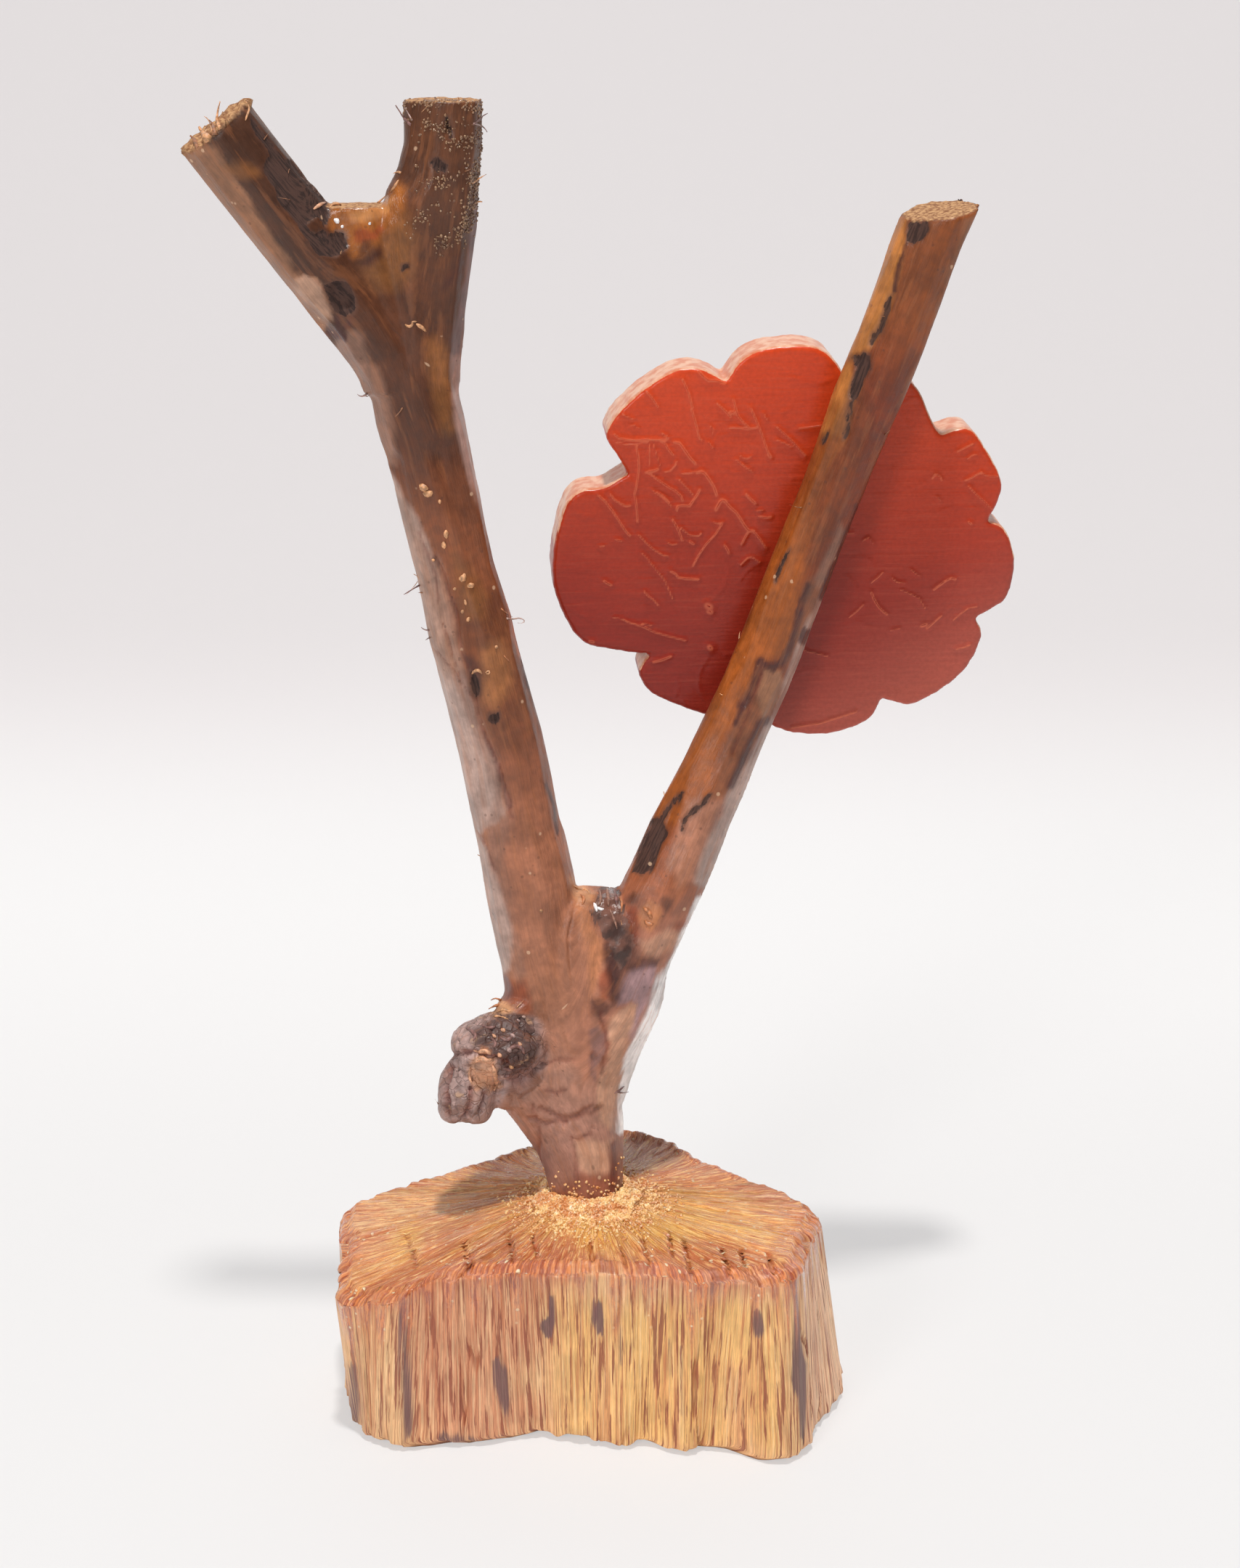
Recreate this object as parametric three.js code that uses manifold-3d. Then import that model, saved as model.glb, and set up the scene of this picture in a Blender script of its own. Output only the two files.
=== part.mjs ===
// Wooden flower ornament: a whittled, naturally forked branch stands in a block of split,
// fibrous wood and carries a painted, scalloped board, the flower, on the back of its right
// limb. Millimetres, +Z up, seen along +Y. The origin lies on the table under the foot of
// the branch.
import * as THREE from "three";
import { mergeVertices } from "three/addons/utils/BufferGeometryUtils.js";
import Module from "manifold-3d";

const wasm = await Module();
wasm.setup();

// Fits
const seatGap = 0.3; // room between two pieces that touch
const glueLine = 0.4; // thickness of the glue between branch and flower

// Block
const blockWidth = 100; // left edge to right edge of the top
const blockDepth = 65; // front to back of the top
const blockHeight = 41; // table to the middle of the front rim
const topCrown = 1.5; // seat of the branch above the front rim
const seatRadius = 14; // flat ground round the foot
const gougeDepth = 0.9; // radial gouges in the top
const fibreRelief = 0.55; // vertical fibres in the sides
const frayLift = 1.5; // frayed lower edge above the table
const frayInset = 2.6; // width of the frayed lower edge

// Foot of the branch, and the glue and sawdust that hold it
const footDiameter = 14.8;
const tenonDiameter = 12.4;
const tenonLength = 18;
const holeSlack = 1.2; // round the tenon, filled by the glue
const collarSkirt = 6; // how far the glue reaches down round the tenon
const collarDiameter = 23;
const collarToe = 0.6; // thickness at the collar's outer edge
const collarRise = 2.6; // how high the collar climbs on the foot
const collarShoulder = 1.6; // how far out it stays thick
const overreach = 1; // of a cutter or a joined end, past the face that it meets
const tenonChamfer = 1.2;

// Branch
const leftLimbDiameter = 17;
const rightLimbDiameter = 13.6;
const stubDiameter = 15.8; // the cut stubs at the upper fork
const middleStubTop = 220.5; // its saw cut above the seat
const leftStubTop = 215.6; // middle of its saw cut above the seat
const shootTop = 201.5; // saw cut of the shoot between the stubs, above the seat
const rightLimbTop = 199.5; // middle of its saw cut above the seat
const burlWidth = 21;
const burlCrown = [-18.6, -1, 33.3]; // middles of its lumps: x, y, height above the seat
const burlLobe = [-25.4, -2.5, 24.7];
const burlNeck = [-14.4, 2, 43.5];
const flatsRound = 11; // whittled flats round a limb
const flatShare = 0.055; // how unequal the flats are, as a share of the radius
const ringSpacing = 7; // along a limb

// Flower
const flowerWidth = 94.3; // across the widest lobes
const flowerTall = 81.2; // lowest lobe to highest lobe
const flowerThickness = 11;
const flowerEdgeRound = 0.6;
const flowerMiddle = 122.5; // its middle above the seat
const flowerShift = -0.6; // its middle to the right of the limb's axis
const flowerLean = 4; // degrees, top towards the viewer
const flowerTurn = 4.5; // degrees, left side towards the viewer
const seatFlatDepth = 1.9; // flat cut into the back of the right limb
const seatFlatLength = 92;
const seatFlatRunOut = 14; // shallow ramp at each end of the flat
const gluePadLength = 62;
const gluePadWidth = 5.6;

const seatHeight = blockHeight + topCrown;
const footCentre = new THREE.Vector3(-0.8, -1, seatHeight);
const rightwards = new THREE.Vector3(1, 0, 0);
const away = new THREE.Vector3(0, 1, 0);
const upwards = new THREE.Vector3(0, 0, 1);

// Meshes and solids

function solidOf(geometry) {
  const plain = geometry.clone();
  plain.deleteAttribute("normal");
  plain.deleteAttribute("uv");
  const merged = mergeVertices(plain, 1e-4);
  return new wasm.Manifold(
    new wasm.Mesh({
      numProp: 3,
      vertProperties: new Float32Array(merged.attributes.position.array),
      triVerts: new Uint32Array(merged.index.array),
    }),
  );
}

function geometryOf(solid) {
  const mesh = solid.getMesh();
  const geometry = new THREE.BufferGeometry();
  geometry.setAttribute("position", new THREE.BufferAttribute(mesh.vertProperties, 3));
  geometry.setIndex(new THREE.BufferAttribute(mesh.triVerts, 1));
  geometry.computeVertexNormals();
  return geometry;
}

// A closed skin over rings of equal length, from the low end to the high end.
function stackedRings(rings, lowCentre, highCentre) {
  const count = rings[0].length;
  const points = [lowCentre, ...rings.flat(), highCentre];
  const index = [];
  const at = (ring, k) => 1 + ring * count + (k % count);
  for (let k = 0; k < count; k++) {
    index.push(0, at(0, k + 1), at(0, k));
    index.push(points.length - 1, at(rings.length - 1, k), at(rings.length - 1, k + 1));
    for (let r = 0; r + 1 < rings.length; r++) {
      index.push(at(r, k), at(r, k + 1), at(r + 1, k));
      index.push(at(r, k + 1), at(r + 1, k + 1), at(r + 1, k));
    }
  }
  const geometry = new THREE.BufferGeometry().setFromPoints(points);
  geometry.setIndex(index);
  return geometry;
}

// All that lies past a plane, to be cut away.
function beyondPlane(point, normal) {
  const reach = 160;
  const box = new THREE.BoxGeometry(reach, reach, reach).translate(0, 0, reach / 2);
  box.applyQuaternion(
    new THREE.Quaternion().setFromUnitVectors(upwards, normal.clone().normalize()),
  );
  return solidOf(box.translate(point.x, point.y, point.z));
}

// Block of split wood. Each post of its outline stands from a foot (x, y) on the table to a
// head (x, y) on the rim, and the last number is how far the rim drops there.
const drawnWidth = 100; // the posts are drawn for this width and this depth
const drawnDepth = 65;
const blockPosts = [
  [-48.5, -20, -50, -25, 8],
  [-44.5, -27.5, -44.5, -28, 7],
  [-37, -31, -38, -29, 5.5],
  [-31, -29.5, -31, -29, 1.5],
  [-20, -28.5, -20, -29, 0.3],
  [-10, -25.5, -8, -28, 1],
  [0, -28.5, 1, -29, 0],
  [6, -30, 8, -30, 0],
  [12, -28.5, 14, -31, -0.3],
  [17, -32, 21, -32, 0.8],
  [27, -31, 28, -33, 0],
  [38, -36.5, 36, -33, -1.3],
  [42.5, -34, 40.5, -32.5, -1.8],
  [46, -24, 43, -24, -1.8],
  [51.2, -13, 45.5, -11, 0],
  [53, -2, 47, 1.5, 1.5],
  [49, 10, 41.5, 6, 0.5],
  [38, 16, 34, 11, -0.5],
  [28, 22, 24, 19, -1.5],
  [16, 30, 15, 28.5, -2.5],
  [3, 33.5, 4, 32, -3],
  [-9, 30, -9, 28, -2],
  [-20, 25, -20, 23, -1],
  [-32, 20, -33, 16, 0.8],
  [-45, 16, -45, 13, 3.3],
  [-52, 8, -52.5, 7.5, 4.8],
  [-51.5, -6, -51.5, -9, 6.5],
];
const columnsPerPost = 5;

function blockOutline(points) {
  const curve = new THREE.CatmullRomCurve3(points, true, "centripetal");
  const columns = points.length * columnsPerPost;
  return Array.from({ length: columns }, (_, k) => curve.getPoint(k / columns));
}

function blockRings() {
  const wide = blockWidth / drawnWidth;
  const deep = blockDepth / drawnDepth;
  const feet = blockOutline(
    blockPosts.map(([x, y]) => new THREE.Vector3(x * wide, y * deep, 0)),
  );
  const heads = blockOutline(
    blockPosts.map((p) => new THREE.Vector3(p[2] * wide, p[3] * deep, blockHeight - p[4])),
  );
  const outward = (p) => new THREE.Vector3(p.x, p.y, 0).normalize();
  const fray = (k) => frayLift * (0.55 + 0.45 * Math.sin(k * 1.37));
  const proud = (k) => fibreRelief * (0.6 * Math.sin(k * 1.93) + 0.4 * Math.sin(k * 0.71 + 1));
  const sides = [0, 0.3, 0.65, 0.96].map((level) => {
    return feet.map((foot, k) => {
      const p = foot.clone().lerp(heads[k], level);
      p.z = Math.max(p.z, fray(k));
      return p.addScaledVector(outward(p), proud(k));
    });
  });
  const seat = heads.map((head) => {
    return outward(head).multiplyScalar(seatRadius).setZ(seatHeight);
  });
  const top = [0.05, 0.3, 0.62].map((inset) => {
    return heads.map((head, k) => {
      const p = head.clone().lerp(seat[k], inset);
      p.z -= gougeDepth * Math.abs(Math.sin(k * 0.61)) * inset * (1 - inset) * 4;
      return p;
    });
  });
  const underside = feet.map((p) => p.clone().addScaledVector(outward(p), -frayInset));
  return [underside, ...sides, ...top, seat];
}

function blockSolid() {
  const skin = stackedRings(blockRings(), new THREE.Vector3(), new THREE.Vector3(0, 0, seatHeight));
  const depth = tenonLength + seatGap;
  const radius = tenonDiameter / 2 + holeSlack;
  const hole = new THREE.CylinderGeometry(radius, radius * 0.93, depth + overreach, 24);
  const middle = seatHeight - (depth - overreach) / 2;
  hole.rotateX(Math.PI / 2).translate(footCentre.x, footCentre.y, middle);
  return solidOf(skin).subtract(solidOf(hole));
}

// Branch. A limb is a row of stations: x, y, height above the seat, half width as a share of
// the limb's radius and, where it is oval, half depth as a share of it.
const trunkStations = [
  [-0.7, -1.6, -4, 0.96, 0.96],
  [-0.9, -1, 0, 0.97, 0.97],
  [-1.5, 0, 6.5, 1.07, 1.05],
  [-2.6, 2, 12.5, 1.19, 1.12],
  [-3.6, 3.6, 18.5, 1.37, 1.18],
  [-3.6, 4.8, 25, 1.55, 1.2],
  [-2.8, 5.7, 31.5, 1.76, 1.22],
  [-1.5, 6.5, 38, 2.02, 1.22],
  [-0.5, 7.3, 45, 2.24, 1.21],
  [0.2, 7.9, 52, 2.42, 1.18],
  [0.9, 8.2, 57, 2.1, 1.05],
  [2.4, 8.4, 61, 1.25, 0.85],
  [2.6, 8.5, 63.4, 0.65, 0.5],
];
const burlRootStations = [
  [-3.6, 0.4, 4.5, 0.72],
  [-8, 1.6, 14.5, 0.76],
  [-13.4, 1.2, 24.5, 0.9],
];
const leftLimbStations = [
  [-5.5, 5.2, 27, 0.75],
  [-8.6, 6.4, 42, 0.93],
  [-11, 7.8, 55, 1],
  [-12.7, 8, 68, 1.07],
  [-14.8, 8, 77, 1.01],
  [-17.6, 7.6, 93, 1.03],
  [-21.8, 6.6, 111, 1.01],
  [-24, 6, 121, 1.01],
  [-26.2, 5.7, 131, 0.93],
  [-28.2, 5.2, 141, 0.95],
  [-30.6, 4.7, 154, 0.97],
  [-32.7, 4, 163, 0.97],
  [-34.2, 3.5, 172, 0.95],
];
const middleStubStations = [
  [-33, 4, 164, 0.98],
  [-32.7, 3.5, 172, 1],
  [-31.8, 3, 181, 1.03],
  [-30.8, 2.8, 190, 1.08],
  [-30.2, 2.5, 197.5, 1.14],
  [-29.5, 2.4, 202, 1.13],
  [-28.1, 2.1, 206.5, 1.02],
  [-27.1, 2, 212, 0.96],
  [-26.8, 2, middleStubTop, 0.96],
  [-26.8, 2, middleStubTop + 4, 0.96],
];
const leftStubStations = [
  [-33, 4, 163, 0.8],
  [-38.4, 3, 175.5, 1.02],
  [-49.2, 0.5, 190, 1.02],
  [-57.6, -1.5, 201.5, 1],
  [-67.9, -4, leftStubTop, 0.95],
  [-70.3, -4.6, leftStubTop + 3.2, 0.95],
];
const shootStations = [
  [-36, 3.4, 168, 0.95],
  [-40.6, 2, 184, 0.93],
  [-42.8, 1.2, 196, 0.84],
  [-43, 1, shootTop, 0.78],
  [-43, 1, shootTop + 3, 0.76],
];
const rightLimbStations = [
  [5, 7, 42, 1],
  [11, 8.8, 55, 1.2],
  [16.6, 10.8, 67, 1.17],
  [21.2, 13.8, 78.5, 1.11],
  [26.9, 16.4, 90, 1.06],
  [34.6, 17.8, 108, 0.98],
  [38.8, 17.6, 120, 0.97],
  [43.2, 17.1, 132, 0.95],
  [47.5, 16.3, 144, 0.95],
  [51.6, 15.5, 155.5, 0.97],
  [54.4, 15, 163.5, 1.03],
  [57.9, 14.3, 173, 1.04],
  [61.7, 13.3, 184, 0.99],
  [65, 12.4, 194, 0.98],
  [67.2, 12.1, rightLimbTop, 0.98],
  [69.5, 11.8, rightLimbTop + 6, 0.98],
];
const rightLimbCut = new THREE.Vector3(-0.15, -0.19, 1); // the saw cut faces up and forward

function stationCurves(stations) {
  const centres = stations.map(([x, y, up]) => new THREE.Vector3(x, y, seatHeight + up));
  const halves = stations.map(([, , , wide, deep = wide]) => new THREE.Vector3(wide, deep, 0));
  return {
    axis: new THREE.CatmullRomCurve3(centres),
    half: new THREE.CatmullRomCurve3(halves),
  };
}

// A limb as whittled, with flats of unequal width that grow and shrink along it.
function limbGeometry(stations, diameter, seed, extra = 0) {
  const { axis, half } = stationCurves(stations);
  const steps = Math.max(3, Math.round(axis.getLength() / ringSpacing));
  const rings = [];
  for (let i = 0; i <= steps; i++) {
    const t = i / steps;
    const along = axis.getTangent(t);
    const deep = away.clone().addScaledVector(along, -along.y).normalize();
    const wide = deep.clone().cross(along);
    const size = half.getPoint(t).multiplyScalar(diameter / 2);
    const ring = [];
    for (let k = 0; k < flatsRound; k++) {
      const angle = ((k + 0.25 * Math.sin(2.4 * k + seed)) / flatsRound) * 2 * Math.PI;
      const proud = 1.025 + flatShare * Math.sin(5.3 * k + seed + 5 * t);
      const p = axis.getPoint(t);
      p.addScaledVector(wide, (size.x * proud + extra) * Math.cos(angle));
      p.addScaledVector(deep, (size.y * proud + extra) * Math.sin(angle));
      ring.push(p);
    }
    rings.push(ring);
  }
  return stackedRings(rings, axis.getPoint(0), axis.getPoint(1));
}

function sawnLimb(stations, diameter, seed, cutNormal) {
  const [x, y, up] = stations.at(-2);
  const cut = beyondPlane(new THREE.Vector3(x, y, seatHeight + up), cutNormal);
  return solidOf(limbGeometry(stations, diameter, seed)).subtract(cut);
}

// A lump of bark and overgrown wood.
function lumpSolid(centre, halves, seed) {
  const lump = new THREE.IcosahedronGeometry(1, 6);
  const at = lump.attributes.position;
  for (let i = 0; i < at.count; i++) {
    const p = new THREE.Vector3().fromBufferAttribute(at, i);
    const wave = Math.sin(3.1 * p.x + seed) * Math.sin(3.7 * p.y + 1) + Math.sin(4.3 * p.z + seed);
    p.multiplyScalar(1 + 0.045 * wave).multiply(halves).add(centre);
    at.setXYZ(i, p.x, p.y, p.z);
  }
  return solidOf(lump);
}

function burlSolid() {
  const half = burlWidth / 2;
  const placed = ([x, y, up]) => new THREE.Vector3(x, y, seatHeight + up);
  const crownHalves = new THREE.Vector3(0.93, 0.8, 0.69).multiplyScalar(half);
  const lobeHalves = new THREE.Vector3(0.56, 0.64, 0.72).multiplyScalar(half);
  const neckHalves = new THREE.Vector3(0.5, 0.5, 0.76).multiplyScalar(half);
  const underside = placed(burlLobe);
  underside.z -= lobeHalves.z;
  return lumpSolid(placed(burlCrown), crownHalves, 0.4)
    .add(lumpSolid(placed(burlLobe), lobeHalves, 2.2))
    .add(lumpSolid(placed(burlNeck), neckHalves, 1.1))
    .subtract(beyondPlane(underside, new THREE.Vector3(-0.1, 0.1, -1)));
}

// The foot stands on the block by a shoulder round the tenon.
function trunkSolid(extra = 0) {
  const shoulder = footCentre.clone().setZ(seatHeight + seatGap - extra);
  return solidOf(limbGeometry(trunkStations, footDiameter, 0.2, extra)).subtract(
    beyondPlane(shoulder, upwards.clone().negate()),
  );
}

// Whittled round at the lower end, so that it drops into the hole of the block.
function tenonSolid(extra = 0) {
  const radius = tenonDiameter / 2 + extra;
  const bottom = -tenonLength - extra;
  const levels = [[bottom, 0.86], [bottom + tenonChamfer, 1], [0, 1], [overreach, 1]];
  const rings = levels.map(([up, share]) => {
    return Array.from({ length: flatsRound }, (_, k) => {
      const angle = (k / flatsRound) * 2 * Math.PI;
      const across = new THREE.Vector3(Math.cos(angle), Math.sin(angle), 0);
      return across.multiplyScalar(radius * share).add(footCentre).setZ(seatHeight + up);
    });
  });
  const lowest = footCentre.clone().setZ(seatHeight + bottom);
  const highest = footCentre.clone().setZ(seatHeight + overreach);
  return solidOf(stackedRings(rings, lowest, highest));
}

function branchSolid(frame) {
  const squareCut = stationCurves(leftStubStations).axis.getTangent(1);
  return trunkSolid()
    .add(solidOf(limbGeometry(burlRootStations, footDiameter, 3)))
    .add(burlSolid())
    .add(tenonSolid())
    .add(solidOf(limbGeometry(leftLimbStations, leftLimbDiameter, 1.3)))
    .add(sawnLimb(middleStubStations, stubDiameter, 0.4, upwards))
    .add(sawnLimb(leftStubStations, stubDiameter, 2.1, squareCut))
    .add(sawnLimb(shootStations, stubDiameter, 4, upwards))
    .add(sawnLimb(rightLimbStations, rightLimbDiameter, 0.9, rightLimbCut))
    .subtract(seatFlatCutter(frame));
}

// Glue and sawdust, heaped round the foot and run down beside the tenon.
function collarSolid() {
  const skirt = tenonDiameter / 2 + holeSlack - seatGap;
  const edge = collarDiameter / 2;
  const profile = [
    [0, -collarSkirt],
    [skirt, -collarSkirt],
    [skirt, seatGap],
    [edge, seatGap],
    [edge, seatGap + collarToe],
    [footDiameter / 2 + collarShoulder, collarRise * 0.8],
    [footDiameter / 2, collarRise],
    [0, collarRise],
  ];
  const heap = new THREE.LatheGeometry(profile.map(([r, up]) => new THREE.Vector2(r, up)), 40);
  const at = heap.attributes.position;
  for (let i = 0; i < at.count; i++) {
    const angle = Math.atan2(at.getZ(i), at.getX(i));
    const reach = Math.hypot(at.getX(i), at.getZ(i));
    if (reach < edge * 0.9) continue;
    const ragged = 1 + 0.06 * Math.sin(3 * angle) + 0.05 * Math.sin(7 * angle + 1);
    at.setX(i, at.getX(i) * ragged);
    at.setZ(i, at.getZ(i) * ragged);
  }
  heap.rotateX(Math.PI / 2).translate(footCentre.x, footCentre.y, seatHeight);
  return solidOf(heap)
    .subtract(trunkSolid(seatGap))
    .subtract(tenonSolid(seatGap));
}

// The flower's own frame has X across its face, Z up it and Y away from the viewer.
function flowerFrame() {
  const { axis, half } = stationCurves(rightLimbStations);
  let t = 0;
  while (t < 1 && axis.getPoint(t).z < seatHeight + flowerMiddle) t += 0.002;
  const limb = axis.getPoint(t);
  const back = limb.y + (half.getPoint(t).y * rightLimbDiameter) / 2;
  const frame = new THREE.Group();
  frame.position.set(limb.x + flowerShift, back - seatFlatDepth + glueLine + 2 * seatGap, limb.z);
  const lean = THREE.MathUtils.degToRad(flowerLean);
  frame.rotation.set(lean, 0, THREE.MathUtils.degToRad(flowerTurn), "ZXY");
  frame.updateMatrixWorld();
  const ahead = axis.getTangent(t);
  frame.userData.limbTilt = Math.atan2(ahead.x, ahead.z);
  return frame;
}

// Lays a shape that is drawn across the flower's face on it, with its thickness away.
function layOnFace(geometry, front) {
  geometry.applyMatrix4(new THREE.Matrix4().makeBasis(rightwards, upwards, away.clone().negate()));
  return geometry.translate(0, front, 0);
}

// What is shaved off the back of the right limb where the flower lies on it.
function seatFlatCutter(frame) {
  const reach = 24;
  const half = seatFlatLength / 2;
  const runOut = (seatFlatRunOut * reach) / seatFlatDepth;
  const profile = new THREE.Shape([
    new THREE.Vector2(0, -half),
    new THREE.Vector2(reach, -half - runOut),
    new THREE.Vector2(reach, half + runOut),
    new THREE.Vector2(0, half),
  ]);
  const wide = 3 * rightLimbDiameter;
  const cutter = new THREE.ExtrudeGeometry(profile, { depth: wide, bevelEnabled: false });
  cutter.translate(0, 0, -wide / 2);
  cutter.applyMatrix4(new THREE.Matrix4().makeBasis(away, upwards, rightwards));
  cutter.rotateY(frame.userData.limbTilt);
  cutter.translate(-flowerShift, -glueLine - 2 * seatGap, 0);
  return solidOf(cutter.applyMatrix4(frame.matrixWorld));
}

// Lobes of the flower, clockwise: each starts at its notch and ends at the next one's.
const drawnFlowerWidth = 94.3;
const drawnFlowerTall = 81.2;
const flowerLobes = [
  [[-12.5, 43.3], [-9.5, 47.6], [-4, 49.9], [4, 50.1], [8.6, 47.6]],
  [[12.5, 41.5], [15.5, 44.6], [20.5, 45], [25.5, 41.6], [28.8, 35]],
  [[30.8, 32], [36.5, 33.2], [41, 27.5], [43.8, 21.8], [42.8, 17.2]],
  [[41.3, 14.1], [45, 12], [47.3, 5.5], [46.3, -1.7], [43.6, -4.4]],
  [[40, -6.5], [41.3, -11.2], [37, -19], [28.3, -24.8], [23.5, -24.3]],
  [[21, -23.4], [18.6, -28.2], [10, -31.1], [1, -30.2]],
  [[-4.5, -26.8], [-10, -27.4], [-16, -26.2], [-26, -21.8], [-29.3, -17]],
  [[-27, -13], [-35, -11.8], [-41.8, -9], [-46.8, 2.9], [-45, 16.5], [-41.5, 21.4], [-36.5, 22.2]],
  [[-31.8, 25], [-34.5, 29.6], [-36.2, 33.2], [-32.5, 38.7], [-24.4, 44.8], [-18, 46]],
];

function flowerGeometry() {
  const wide = flowerWidth / drawnFlowerWidth;
  const tall = flowerTall / drawnFlowerTall;
  const points = flowerLobes.map((lobe) => {
    return lobe.map(([x, up]) => new THREE.Vector2(x * wide, up * tall));
  });
  const outline = new THREE.Shape();
  outline.moveTo(points[0][0].x, points[0][0].y);
  points.forEach((lobe, i) => {
    const nextNotch = points[(i + 1) % points.length][0];
    outline.splineThru([...lobe.slice(1), nextNotch]);
  });
  const board = new THREE.ExtrudeGeometry(outline, {
    depth: flowerThickness - 2 * flowerEdgeRound,
    bevelThickness: flowerEdgeRound,
    bevelSize: flowerEdgeRound,
    bevelOffset: -flowerEdgeRound,
    bevelSegments: 1,
    curveSegments: 3,
  });
  return layOnFace(board, flowerThickness - flowerEdgeRound);
}

function gluePadGeometry(frame) {
  const radius = gluePadWidth / 2;
  const straight = gluePadLength / 2 - radius;
  const outline = new THREE.Shape();
  outline.absarc(0, straight, radius, 0, Math.PI);
  outline.absarc(0, -straight, radius, Math.PI, 2 * Math.PI);
  const pad = new THREE.ExtrudeGeometry(outline, {
    depth: glueLine,
    bevelEnabled: false,
    curveSegments: 8,
  });
  layOnFace(pad, -seatGap);
  pad.rotateY(frame.userData.limbTilt);
  return pad.translate(-flowerShift, 0, 0);
}

// Materials

function finish(color, roughness) {
  return new THREE.MeshStandardMaterial({ color, roughness, metalness: 0 });
}

const splitWood = finish(0xd39a55, 0.7);
const varnishedWood = finish(0x8a5636, 0.4);
const sawdustGlue = finish(0xd9a45c, 0.6);
const redEnamel = finish(0xb5402c, 0.35);
const clearedGlue = finish(0xe6d9b8, 0.3);

function namedMesh(name, geometry, material) {
  const mesh = new THREE.Mesh(geometry, material);
  mesh.name = name;
  return mesh;
}

const ornament = new THREE.Group();
const flower = flowerFrame();
flower.add(
  namedMesh("flower_disc", flowerGeometry(), redEnamel),
  namedMesh("flower_glue_pad", gluePadGeometry(flower), clearedGlue),
);
ornament.add(
  namedMesh("base_block", geometryOf(blockSolid()), splitWood),
  namedMesh("forked_branch", geometryOf(branchSolid(flower)), varnishedWood),
  namedMesh("foot_glue_collar", geometryOf(collarSolid()), sawdustGlue),
  flower,
);

export default ornament;
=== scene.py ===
"""A handmade wooden flower ornament: a whittled, forked branch in a block of split wood, with a
painted scalloped board as its flower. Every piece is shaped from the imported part, in metres."""

import math
from itertools import product

import bmesh
import bpy
import numpy as np
from mathutils import Matrix, Vector
from mathutils.bvhtree import BVHTree


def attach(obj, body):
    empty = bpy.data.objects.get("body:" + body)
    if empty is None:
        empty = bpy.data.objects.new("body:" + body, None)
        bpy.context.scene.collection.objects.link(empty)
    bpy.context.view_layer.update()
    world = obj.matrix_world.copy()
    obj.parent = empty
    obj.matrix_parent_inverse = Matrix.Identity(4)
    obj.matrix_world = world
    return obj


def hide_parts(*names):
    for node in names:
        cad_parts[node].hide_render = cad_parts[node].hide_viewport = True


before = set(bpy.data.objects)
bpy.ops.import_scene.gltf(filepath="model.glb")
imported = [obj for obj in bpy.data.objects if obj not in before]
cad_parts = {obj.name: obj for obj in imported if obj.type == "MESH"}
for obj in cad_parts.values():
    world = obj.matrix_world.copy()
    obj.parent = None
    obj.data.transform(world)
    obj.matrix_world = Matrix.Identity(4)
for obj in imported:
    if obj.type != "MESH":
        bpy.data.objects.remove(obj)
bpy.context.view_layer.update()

MM = 0.001
VARNISH_HAZE = 0.022  # what clear varnish adds to a colour by its reflections

# The photograph's viewpoint
PHOTO_SIZE = (1708, 2160)
FOCAL_PIXELS = 3760
CAMERA_AT = Vector((6, -517, 290)) * MM
CAMERA_PITCH = math.radians(17.06)
CAMERA_TURN = Matrix.Rotation(math.pi / 2 - CAMERA_PITCH, 3, "X")
SENSOR = 36
PIXEL = 0.145 * MM  # what a pixel of the photograph covers on the ornament
MARK_DEPTH = 14 * MM  # how far before or behind its line a mark still reaches
AREA_DEPTH = 20 * MM
HASH_STEPS = (374761393, 668265263, 2246822519)  # large primes that scatter the noise
HASH_FACTOR = 1274126177


# Numbers, noise and meshes

def smoothstep(low, high, value):
    share = np.clip((value - low) / (high - low), 0, 1)
    return share * share * (3 - 2 * share)


def mm(*sizes):
    return np.array(sizes) * MM


def noise_at(points, width, seed=0):
    """Smooth noise from -1 to 1 with features about one width wide. Width may differ by axis."""
    place = np.asarray(points, float) / np.asarray(width, float) + 19.7 * (seed + 1)
    cell = np.floor(place).astype(np.int64)
    part = place - cell
    ease = part * part * (3 - 2 * part)
    total = np.zeros(len(place))
    for corner in product((0, 1), repeat=3):
        value = sum(step * axis for step, axis in zip(HASH_STEPS, (cell + corner).T))
        value = (value ^ (value >> 13)) * HASH_FACTOR & 0xFFFFFFFF
        value = ((value ^ (value >> 16)) & 0xFFFF) / 32767.5 - 1
        total += value * np.prod(np.where(corner, ease, 1 - ease), axis=1)
    return total


def rough_noise(points, width, seed=0, octaves=3):
    """Noise with finer and finer detail."""
    width = np.asarray(width, float)
    layers = [noise_at(points, width / 2**k, seed + 7 * k) / 2**k for k in range(octaves)]
    return sum(layers) / 1.6


def new_piece(name, mesh):
    piece = bpy.data.objects.new(name, mesh)
    bpy.context.scene.collection.objects.link(piece)
    return piece


def piece_of(name, points, faces):
    mesh = bpy.data.meshes.new(name)
    mesh.from_pydata([tuple(p) for p in points], [], faces)
    mesh.update()
    return new_piece(name, mesh)


def points_of(mesh):
    points = np.empty(len(mesh.vertices) * 3)
    mesh.vertices.foreach_get("co", points)
    return points.reshape(-1, 3)


def normals_of(mesh):
    normals = np.empty(len(mesh.vertices) * 3)
    mesh.vertices.foreach_get("normal", normals)
    return normals.reshape(-1, 3)


def move_points(mesh, points):
    mesh.vertices.foreach_set("co", np.asarray(points, np.float32).ravel())
    mesh.update()


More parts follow.
